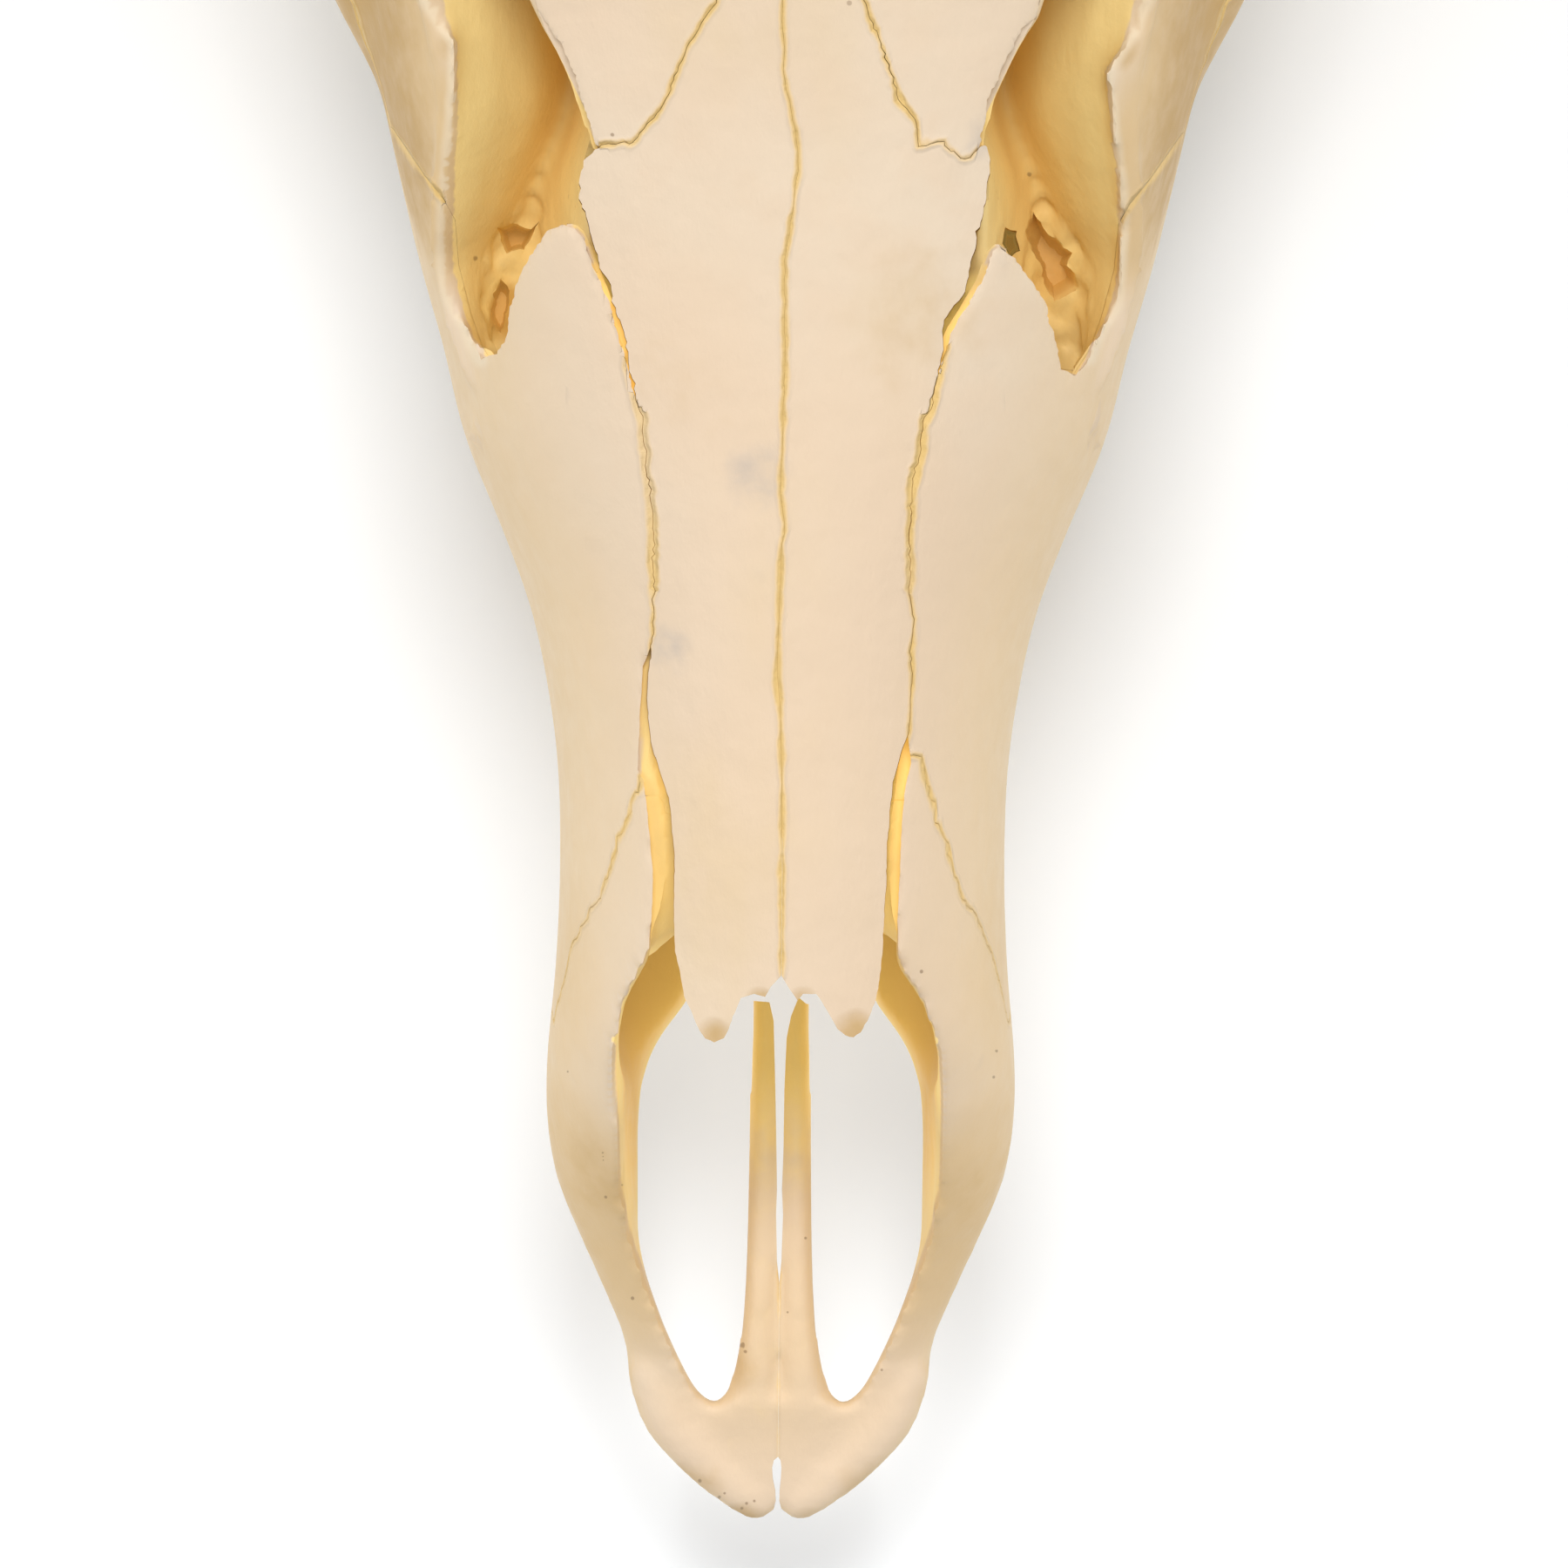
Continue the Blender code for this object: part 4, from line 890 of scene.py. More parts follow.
@dataclass(frozen=True)
class Openings:
    """What is cut from the skull, and the thin things that stand inside the openings."""

    rim_edge: dict[Side, Flat] = field(default_factory=lambda: {
        Side.LEFT: (
            (13, 8.2), (17, 10.4), (20.5, 12), (24, 13), (27.5, 13.3), (36.6, 13.2), (39.1, 12.9), (41, 12.5),
            (42.8, 11.7), (44.7, 10.5), (51.7, 10.3), (56.2, 10.8), (58.9, 11.1), (59.7, 11.6), (64.7, 11.4),
            (68, 11.2), (70.6, 10.2),
        ),
        Side.RIGHT: (
            (13, 8.2), (17, 10.4), (20.5, 12), (24, 13), (27.5, 13.3), (33.5, 13), (37.8, 12.4), (40.6, 11.5),
            (42.8, 10.3), (44.4, 9.1), (51.7, 9.4), (55.4, 9.5), (58.6, 9.8), (60.4, 10.2), (62.4, 10),
        ),
    })
    fissure_edge: Flat = (
        (8.8, 5.8), (9.4, 6.5), (10.2, 7), (12.1, 8), (14.9, 9.3), (18.9, 10.75), (22, 11.45), (31, 11.5),
        (34.1, 11.3), (36.3, 10.7), (38.1, 9.9), (39.7, 8.7), (41.1, 7.6), (46, 6), (50, 5),
    )
    corner: float = 43.0
    shrink: float = 0.5
    vacuity: dict[Side, Flat] = field(default_factory=lambda: {
        Side.LEFT: (
            (11, 88), (12.3, 90.1), (12.7, 92.2), (13.3, 94.3), (14, 96.5), (14.8, 98.6), (15.4, 99.9),
            (16.2, 102.2), (16.9, 102.8), (17.9, 103), (19, 102.5), (19.9, 101.3), (20.8, 100.1),
            (21.6, 98.1), (21.9, 96.5), (22.5, 93.9), (23.2, 92.9), (24.4, 92.5), (25.6, 95.4), (26.9, 97.3),
            (27.4, 99.9), (27.3, 104.2), (27, 108.4), (26.5, 113.8), (26.4, 117.7), (27.3, 118.9),
            (28.9, 121.2), (29, 126), (26.8, 129.6), (23.8, 128), (20.7, 121.2), (19.1, 119), (18, 117.2),
            (17, 115.1), (16.4, 113.2), (15.8, 111.3), (15.2, 109.3), (13, 108), (11, 104),
        ),
        Side.RIGHT: (
            (11, 88), (12.6, 92.8), (13.4, 95.2), (14.5, 97), (15.6, 98.9), (16.3, 101.2), (16.9, 101.5),
            (18.1, 100.7), (19.5, 99.1), (20.6, 97.3), (21.1, 95.4), (21.7, 93.1), (22, 92.1), (23.2, 91.5),
            (24.3, 93), (25.1, 95.4), (26.3, 97.3), (26.5, 99.9), (26.7, 103.1), (26.6, 106.3), (25.9, 110.6),
            (25.5, 113.8), (25.3, 115.8), (26.3, 117.2), (27.6, 119.3), (28.4, 121.2), (28.8, 126),
            (26.4, 129.8), (23.4, 128), (20.3, 121.2), (20, 119.9), (18.6, 118.8), (17.7, 117.2),
            (16.8, 115.3), (15.9, 113.2), (15.5, 110.8), (15.4, 110), (14.7, 107.6), (11, 104),
        ),
    })
    lacrimal_slope: tuple[Row, ...] = (
        (90.6, 24.2, 55, 3.5, 1.2), (93, 25, 55, 4.5, 1.7), (95.6, 25.9, 55, 5.5, 2.4),
        (100, 27, 55.6, 6.6, 3.8), (102.6, 27.2, 57.6, 7.4, 4.8), (104.2, 27.2, 58.8, 8, 5.9),
        (107, 27.1, 60.6, 8.8, 7.2), (110, 26.8, 62.4, 9.4, 8.4), (114, 26.6, 64, 10, 9.8),
        (121, 28.2, 65.4, 11, 11.5), (131, 30, 66, 12, 12.5),
    )
    scroll: tuple[Row, ...] = (
        (19.6, 84, 43, 2.6, 2.6), (22.4, 92, 45, 3.2, 2.8), (22, 98, 46.4, 3.8, 3),
        (21.4, 103, 47.2, 4.4, 3.2), (20.4, 110, 48.6, 5.2, 3.6), (20, 120, 50, 6, 4), (20.6, 134, 51, 6, 4),
    )
    pits: tuple[Flat, ...] = (
        (
            (-23.1, 103), (-21.7, 103.4), (-20.5, 103), (-19.9, 103.5), (-20.9, 101.4), (-22.4, 101.1),
            (-23, 102),
        ),
        ((-22.9, 99.2), (-22.1, 98.4), (-22.1, 96.4), (-22.9, 94.2), (-23.6, 95.5), (-23.5, 97.8)),
        (
            (19.7, 104.6), (20.7, 103.1), (22.8, 101.4), (22.5, 100.3), (23.3, 99.4), (23.4, 98.2),
            (21.6, 97.2), (20.6, 98.4), (20.4, 100.3), (19.7, 101.7), (19.1, 103),
        ),
        ((17.6, 103.3), (18.3, 103.1), (18.6, 101.5), (18, 100.9), (17.4, 102)),
    )
    pit_rings: Flat = ((0.55, 47.4), (0.78, 48.4), (0.95, 50), (1.05, 52), (1.1, 60))
    ledge: tuple[Row, ...] = (
        (44.8, 12.3, 56.2, 10.8, 51), (46.6, 11.7, 57.3, 8.4, 54), (49, 11.4, 58.3, 6.6, 56),
        (52, 11.2, 59.2, 5.6, 57.6), (60, 11.4, 60.4, 6, 58.8), (66, 11.8, 61.4, 6.2, 60),
        (72, 11.8, 63.2, 6.8, 61.8), (80, 12.4, 65.4, 7.4, 63.8), (88, 13.4, 67.3, 8.4, 65.6),
        (95, 15, 67.8, 9.8, 66.2), (99, 15.8, 66.2, 11.6, 64.2), (104, 17.2, 60, 15, 58),
    )
    slope: tuple[Row, ...] = (
        (84, 13, 63, 17, 44), (92, 13.8, 64.4, 19, 46), (100, 15, 65.4, 20.2, 47.6),
        (107, 15.2, 66, 20.4, 48.6), (113, 14.2, 66.8, 18.6, 49.6), (122, 13.6, 68, 17.6, 50),
        (132, 13.6, 69, 17.6, 50),
    )
    lip_width: float = 1.2
    flank_edge: Flat = (
        (71, 11), (80, 11.6), (88, 13), (94, 15), (100, 17.4), (112, 20),
    )
    vault: tuple[Row, ...] = (
        (62, 4, 27, 20, -20, 2.2, 2.2), (76, 9, 27.4, 18, -20, 2.2, 2.2), (92, 12.6, 25.6, 14, -20, 2.4, 2.2),
        (112, 15, 24.6, 12, -20, 2.6, 2.2), (134, 16, 24, 10, -20, 2.6, 2.2),
        (156, 15.6, 24, 10, -20, 2.6, 2.2), (176, 14, 24, 10, -20, 2.6, 2.2),
    )
    throat: tuple[Row, ...] = (
        (163, 9.4, 36, 20, -20, 2.4, 2.2), (180, 9.2, 36, 20, -20, 2.4, 2.2), (196, 9, 34, 20, -20, 2.4, 2.2),
        (206, 6, 30, 20, -20, 2.4, 2.2),
    )
    palate_bar: tuple[Row, ...] = (
        (2.4, 5.5, 25.2, 2.4, 1.6), (2.15, 8.4, 26.8, 2.4, 1.9), (1.9, 10.2, 27.7, 2.05, 2),
        (1.75, 12, 28.2, 1.75, 1.9), (1.6, 14.4, 28.6, 1.5, 1.75), (1.45, 19, 29, 1.35, 1.6),
        (1.35, 26, 29.4, 1.25, 1.5), (1.3, 34, 29.9, 1.2, 1.4), (1.2, 42, 30.7, 1.2, 1.3),
        (1.2, 44, 31, 1.2, 1.3),
    )
    slits: tuple[Flat, ...] = (
        (
            (0, 18.4), (-0.2, 20.2), (-0.3, 24), (-0.24, 26), (-0.3, 29), (-0.42, 34), (-0.6, 39.6),
            (-0.95, 41.1), (-2.3, 41.2), (-4, 40.9), (-4, 46), (4, 46), (4, 40.6), (2, 41), (1.4, 41.5),
            (0.8, 40), (0.45, 38.2), (0.3, 34), (0.26, 29), (0.16, 26), (0.26, 24), (0.16, 20.2),
        ),
        (
            (-1.2, -3), (-0.5, -0.6), (-0.16, 0.8), (-0.2, 1.6), (-0.42, 2.6), (-0.48, 3.5), (-0.34, 4.1),
            (0, 4.4), (0.2, 4.1), (0.28, 3.5), (0.24, 2.6), (0.14, 1.6), (0.12, 0.8), (0.5, -0.6), (1.2, -3),
        ),
    )
    slot_floor: Flat = ((43, 57.7), (52, 59.6), (60, 61), (66, 62.2), (71, 63.6))
    gap_floors: tuple[tuple[float, float, Flat], ...] = (
        (17.5, 30, ((88, 56.6), (100, 56.6), (104, 59.6))),
        (10, 18, ((88, 67.6), (96, 68.9), (104, 69.7))),
    )
    back_floor: Flat = ((102, 69.6), (110, 70.6), (120, 73), (131, 76))
    paired_holes: tuple[tuple[str, Row, Row, Row], ...] = (
        ("ear_hole", (43, 241.6, 46.4), (6, 2.8, 2.8), (0, -20, 0)),
        ("brow_hole", (17.5, 152, 89), (1.7, 3.4, 5), (0, 0, 0)),
        ("tear_hole", (41.5, 150, 62), (2.4, 4, 1.5), (0, 0, -30)),
        ("tear_hole", (42, 150, 68), (2.4, 4, 1.5), (0, 0, -30)),
    )
    vomer_side: Flat = ((62.0, 28.0), (150.0, 28.0), (150.0, 54.0), (120.0, 50.0), (66.0, 37.0))
    vomer_half: float = 1.3

    def nasal_opening(self) -> Solid:
        """What is missing before the nasal bones.

        Returns:
            A solid, open above and narrow at the fissures of the palate.
        """
        rings = []
        first, last = self.fissure_edge[0][0], self.corner + 5.0
        for s in [first + i * (last - first) / 34 for i in range(35)]:
            ring = []
            for side in Side:
                upper, lower = value_at(self.rim_edge[side], s), value_at(self.fissure_edge, s)
                half = ((upper, 90), (upper, 52), (0.5 * (upper + lower), 38), (lower, 30), (lower, 10))
                half = half if side is Side.RIGHT else reversed(half)
                ring += [at(side.value * x, s, z) for x, z in half]
            rings.append(ring)
        return Bench.loft("opening", rings)

    def slot_outline(self, shrink: float) -> Flat:
        """The strip between the two edges beside the nasal bones, each edge moved in by shrink.

        Args:
            shrink: how far the edges move in.

        Returns:
            The outline.
        """
        edges = {
            side: [(side.value * (x - shrink), s) for s, x in self.rim_edge[side] if s > self.corner]
            for side in Side
        }
        return (*edges[Side.RIGHT], *reversed(edges[Side.LEFT]))

    def gap_outline(self, side: Side, shrink: float) -> Flat:
        """The gap before the orbit, all but its outer lip moved in by shrink.

        Args:
            side: the side of the skull.
            shrink: how far the edges move in.

        Returns:
            The outline.
        """
        rows = self.vacuity[side]
        kept = [
            row if (row[0] > 23.5 and row[1] > 94.0) or row[1] > 119.0 else moved
            for row, moved in zip(rows, grown(rows, -shrink))
        ]
        return tuple((x * side.value, s) for x, s in kept)

    def shaded(self, x: float, s: float, z: float, depth: float) -> float:
        """The depth of a place, made less where it lies under the edge of a slot or a gap, so that it takes
        the golden inner colour there as painted shade.

        Args:
            x: the distance from the mid-plane.
            s: how far behind the tip of the snout.
            z: the height.
            depth: the depth in the face.

        Returns:
            The new depth.
        """
        side = Side.RIGHT if x > 0 else Side.LEFT
        if not 38.0 < s < 131.0 or z < 40.0 or not 0.6 < depth < 0.985:
            return depth
        reach = value_at(self.rim_edge[side], s) if s < 71.0 else value_at(self.flank_edge, s)
        if (s < 100.0 and abs(x) < reach + 0.5) or within(self.vacuity[side], abs(x), s):
            return depth + (min(depth, 0.9) - depth) * min(1.0, (0.985 - depth) / 0.012)
        return depth

    def hidden(self, x: float, s: float, depth: float) -> bool:
        """Whether a place is the floor of a slot or a gap, where no suture shows.

        Args:
            x: the distance from the mid-plane.
            s: how far behind the tip of the snout.
            depth: the depth in the face.

        Returns:
            True on a floor.
        """
        side = Side.RIGHT if x > 0 else Side.LEFT
        if 88.0 < s < 131.0 and within(self.vacuity[side], abs(x), s):
            return True
        return 46.0 < s < 88.0 and depth < 0.97 and abs(x) < value_at(self.rim_edge[side], s) + 0.4

    def lip(self, x: float, s: float, z: float) -> float:
        """How near a place is to the outer lip of a gap, from 1 on it to 0.

        Args:
            x: the distance from the mid-plane.
            s: how far behind the tip of the snout.
            z: the height.

        Returns:
            The nearness.
        """
        side = Side.RIGHT if x > 0 else Side.LEFT
        place = (abs(x), s)
        if not (21.0 < abs(x) < 32.0 and 90.0 < s < 128.0 and z > 50.0) or within(self.vacuity[side], *place):
            return 0.0
        line = [row for row in self.vacuity[side] if row[0] > 24.0]
        nearest = min(self._distance(place, start, end) for start, end in zip(line, line[1:]))
        return max(0.0, 1.0 - nearest / self.lip_width)

    @staticmethod
    def _distance(place: tuple[float, float], start: tuple[float, float], end: tuple[float, float]) -> float:
        """How far a place is from a straight piece between two points.

        Args:
            place: the place.
            start: one end.
            end: the other end.

        Returns:
            The distance.
        """
        along = (end[0] - start[0], end[1] - start[1])
        passed = (place[0] - start[0]) * along[0] + (place[1] - start[1]) * along[1]
        share = share_of(passed, 0.0, along[0] ** 2 + along[1] ** 2)
        return math.dist(place, (start[0] + share * along[0], start[1] + share * along[1]))

    def edges(self) -> list[Solid]:
        """Tools that give the thin edges of the gaps and slots their broken outline.

        Returns:
            The tools, which end above what lies inside.
        """
        slot = ragged(self.slot_outline(0.0), 0.35, 0.06, 6.0)
        tools = [self._trim(slot, self.slot_floor)]
        for side in Side:
            outline = ragged(self.gap_outline(side, 0.0), 0.3, 0.14, 3.0 + side.value, 0.19)
            for inner, outer, floor in self.gap_floors:
                tools.append(self._trim(tuple(
                    (side.value * min(max(abs(x), inner), outer), min(s, 104.0)) for x, s in outline
                ), floor))
            back = tuple((side.value * min(abs(x), 21.0), max(s, 102.0)) for x, s in outline)
            tools.append(self._trim(back, self.back_floor))
        return tools

    @staticmethod
    def _trim(outline: Flat, floor: Sequence[tuple[float, float]]) -> Solid:
        """An outline drawn out upwards from a sloping floor, given as (s, z).

        Args:
            outline: the points of the outline.
            floor: the floor's (s, z) points.

        Returns:
            The solid.
        """
        pairs = zip((outline[-1], *outline), outline)
        clean = [here for before, here in pairs if math.dist(before, here) > 0.02]
        low = [at(x, s, value_at(floor, s)) for x, s in clean]
        return Bench.loft("trim", [low, [at(x, s, 100.0) for x, s in clean]])

    def cutters(self, face: Face, cheek: Cheek) -> list[Solid]:
        """Everything that is cut from the solid skull.

        Args:
            face: the face.
            cheek: the cheeks.

        Returns:
            The solids to cut.
        """
        return [
            *Bench.both(cheek.hollow()),
            face.room(),
            self.nasal_opening(),
            Bench.prism("slot", self.slot_outline(self.shrink), "z", 52.0, 100.0),
            Bench.body("vault", self.vault),
            Bench.body("throat", self.throat),
            Bench.ball("foramen_magnum", (0.0, 278.0, 41.5), (9.6, 16.0, 8.6)),
            *(Bench.prism("gap", self.gap_outline(side, self.shrink), "z", 44.0, 100.0) for side in Side),
            *(piece for hole in self.paired_holes for piece in Bench.both(Bench.ball(*hole))),
        ]

    def lacrimal_plate(self) -> Solid:
        """The thin wall that slopes from the outer lip of the right gap into the nose.

        Returns:
            The wall.
        """
        rings = []
        for s, lip, top, depth, reach in spline(self.lacrimal_slope, 1.2):
            rings.append([
                at(lip + x, s, top + z) for x, z in (
                    (1.6, -1.0), (0.4, -0.2), (-0.35 * reach, -0.2 * depth), (-0.68 * reach, -0.5 * depth),
                    (-reach, -depth), (1.4 - reach, -depth - 1.6), (1.6 - 0.5 * reach, -0.5 * depth - 1.4),
                )
            ])
        return Bench.loft("lacrimal_plate", rings)

    @staticmethod
    def sheet(name: str, rows: tuple[Row, ...], half: float, bulge: float) -> Solid:
        """A thin bowed sheet through rows of (s, x, top, low x, low).

        Args:
            name: its name.
            rows: the rows.
            half: half its thickness.
            bulge: how far it bows.

        Returns:
            The sheet.
        """
        rings = []
        for s, x, top, low_x, low in spline(rows, 1.5):
            along = Vector((low_x - x, low - top)).normalized()
            out = Vector((-along.y, along.x)) if along.x > 0 else Vector((along.y, -along.x))
            spine = ((x, top, 0.0), (0.7 * x + 0.3 * low_x, 0.7 * top + 0.3 * low, 0.8 * bulge),
                     (0.35 * x + 0.65 * low_x, 0.35 * top + 0.65 * low, bulge), (low_x, low, 0.0))
            front = [Vector((px, pz)) + out * (lift + half) for px, pz, lift in spine]
            back = [Vector((px, pz)) + out * (lift - half) for px, pz, lift in reversed(spine)]
            rings.append([at(point.x, s, point.y) for point in (*front, *back)])
        return Bench.loft(name, rings)

    def roughened(self, skull: Solid) -> Solid:
        """Gives the scrolls their crumpled skin, and their pits.

        Args:
            skull: the whole skull.

        Returns:
            The same skull.
        """
        places = []
        for vertex in skull.data.vertices:
            x, y, z = vertex.co / MM
            s = y + MIDDLE
            place = vertex.co
            if 86.0 < s < 132.0 and 10.0 < abs(x) < 25.0 and 38.0 < z < 52.0:
                size = 0.7 * noise.noise(place * 330.0) + 0.45 * noise.noise(place * 800.0)
                place = place + vertex.normal * size * MM
            places.append(place)
        skull.data.vertices.foreach_set("co", [value for place in places for value in place])
        return Bench.combine(skull, [self._pit(pit) for pit in self.pits], "DIFFERENCE")

    def _pit(self, outline: Flat) -> Solid:
        """A funnel that opens upwards to an outline.

        Args:
            outline: the points of the outline.

        Returns:
            The funnel.
        """
        rough = ragged(outline, 0.4, 0.25, 2.0)
        middle = tuple(sum(values) / len(rough) for values in zip(*rough))
        rings = []
        for share, level in self.pit_rings:
            rings.append([
                at(middle[0] + share * (x - middle[0]), middle[1] + share * (s - middle[1]), level)
                for x, s in rough
            ])
        return Bench.loft("pit", rings)

    def additions(self, cheek: Cheek) -> list[Solid]:
        """What is fused to the hollowed skull.

        Args:
            cheek: the cheeks.

        Returns:
            The solids to fuse.
        """
        made = [Bench.prism("vomer", self.vomer_side, "x", -self.vomer_half, self.vomer_half)]
        for piece in (
            cheek.rim(), cheek.strut(), self.lacrimal_plate(), self.sheet("ledge", self.ledge, 0.55, 0.2),
            self.sheet("slope", self.slope, 0.7, -0.8), Bench.sweep("scroll", self.scroll),
            Bench.sweep("palate_bar", self.palate_bar, 1.0, 20),
        ):
            made += Bench.both(piece)
        return made


@dataclass(frozen=True)
class BoneMap:
    """Where each bone ends, seen from above as (x, s) or from the side as (s, z)."""

    nasal: dict[Side, Flat] = field(default_factory=lambda: {
        Side.LEFT: (
            (0, 43.4), (0.8, 42.5), (1.3, 41.7), (2.2, 41.9), (3.2, 41.6), (3.8, 40.1), (4.15, 39.1),
            (4.6, 38.35), (5.3, 38), (6, 38.3), (6.5, 38.95), (7, 39.9), (7.5, 41), (8, 42.8), (8.5, 45.3),
            (8.7, 49), (8.6, 51.7), (8.7, 54.1), (9.1, 57.5), (9.9, 59.9), (10.6, 62), (10.9, 65.5),
            (10.6, 69.5), (10.3, 72.9), (10.3, 74.8), (10.5, 77.4), (10.7, 81.5), (11.1, 84.7), (11.4, 87.8),
            (12.4, 91.9), (12.8, 94.3), (13.9, 97.8), (14.7, 99.7), (15.6, 102.6), (16.4, 104.7),
            (16.5, 106.8), (16.2, 108.1), (15.3, 109), (13.2, 109.7), (12.4, 109.5), (10.3, 111.9),
            (8.8, 114.8), (8.2, 116.9), (6.7, 119.6), (5.3, 121.2), (3.6, 125.4), (1.4, 128.4), (0, 129.4),
        ),
        Side.RIGHT: (
            (0, 43.4), (0.7, 42.2), (1.3, 41.4), (1.7, 41.9), (2.8, 41.9), (3.3, 41.3), (3.9, 40.2),
            (4.5, 39.2), (5.1, 38.65), (5.8, 38.5), (6.4, 38.9), (6.9, 39.8), (7.5, 41.3), (7.8, 42.8),
            (8.1, 45.9), (8.3, 50.6), (8.4, 54.1), (8.8, 58.9), (9.5, 61.5), (10, 62.6), (10.2, 66.8),
            (10.3, 70), (10.4, 71.9), (10, 73.8), (10, 77.4), (10.3, 82.8), (10.8, 86.3), (11.8, 89.9),
            (12.6, 93.4), (12.6, 95.7), (13.9, 97.5), (14.7, 99.9), (15.2, 102.6), (15.7, 104.2),
            (15.9, 106.3), (16.2, 108.4), (15.8, 109.8), (14.9, 109), (14.1, 108.4), (13.3, 109), (12.2, 110),
            (10.6, 109.5), (10.3, 111.1), (8.9, 113.2), (8.4, 114.8), (7.4, 117.7), (5.8, 121.2), (3.4, 125),
            (1.6, 129), (0, 130.2),
        ),
    })
    midline: tuple[tuple[float, float], ...] = (
        (43.4, 0), (51.7, 0), (58.9, -0.06), (64.7, -0.24), (67.4, -0.5), (72, -0.4), (78.2, -0.2),
        (78.8, 0.08), (81.5, -0.33), (91.9, -0.08), (100.5, -0.14), (105.2, 0.66), (108.7, 0.92),
        (110.6, 0.62), (114.8, -0.24), (121.2, -0.49), (130, 0),
    )
    premaxilla: Flat = (
        (-9, -20), (-9, 90), (61.4, 90), (61.2, 62.4), (56.2, 60), (49.9, 55.6), (45.6, 49), (43.1, 46.4),
        (39.7, 42.6), (40.4, 38.4), (46, 36.4), (49.4, 34), (50, -20),
    )
    lacrimal: Flat = (
        (88.6, 53.4), (90.4, 50), (97, 43), (104, 42.6), (112, 44.6), (122, 48), (136, 51.6), (152, 55),
        (166, 56), (166, 74), (152, 77.6), (131, 74), (122, 68.6), (113, 66.6), (108, 63.2), (105.4, 61),
        (98, 59.4), (92, 57.4),
    )
    lacrimal_top: Flat = (
        (11, 88), (11, 180), (70, 180), (70, 116), (34.5, 113.4), (31.6, 111), (29, 107.2), (27.4, 105.2),
        (26.5, 103.6), (26.2, 100), (25.2, 96.2), (24.3, 93.6), (22, 90), (16, 88),
    )
    frontal: Flat = (
        (105.6, 140), (105.6, 65), (122, 66), (131, 71), (152, 74.6), (164, 71), (178, 67), (199, 66.5),
        (214, 68), (226, 74), (227, 90), (244, 106), (244, 140),
    )
    zygomatic: Flat = (
        (120, 53), (124.5, 42), (131, 37), (143, 34), (152, 38), (158, 38), (196, 36), (214, 45.6), (202, 56),
        (200, 70), (170, 72), (160, 60), (136, 55),
    )
    occipital: Flat = (
        (300, 130), (269, 130), (267, 72), (262, 58), (255, 46), (252, 36), (250, -20), (300, -20),
    )
    parietal: Flat = (
        (240, 108), (222, 92), (221, 72), (232, 64), (246, 58), (264, 57), (271, 72), (273, 108),
    )
    maxilla: Flat = (
        (20, -20), (20, 100), (124, 100), (142, 60), (160, 50), (170, 40), (173, -20),
    )
    palatine: Flat = ((0, 146), (13.6, 148), (16.4, 157), (17.6, 166), (17.6, 173.4), (0, 173.4))
    palatine_top: float = 44.0
    temporal: Flat = (
        (31, 190), (26, 203), (18.4, 211), (18.4, 226), (12, 231), (12, 270), (80, 270), (80, 190),
    )
    vomer: Flat = ((-4, 64), (4, 64), (4, 142), (-4, 142))
    vomer_foot: float = 33.0


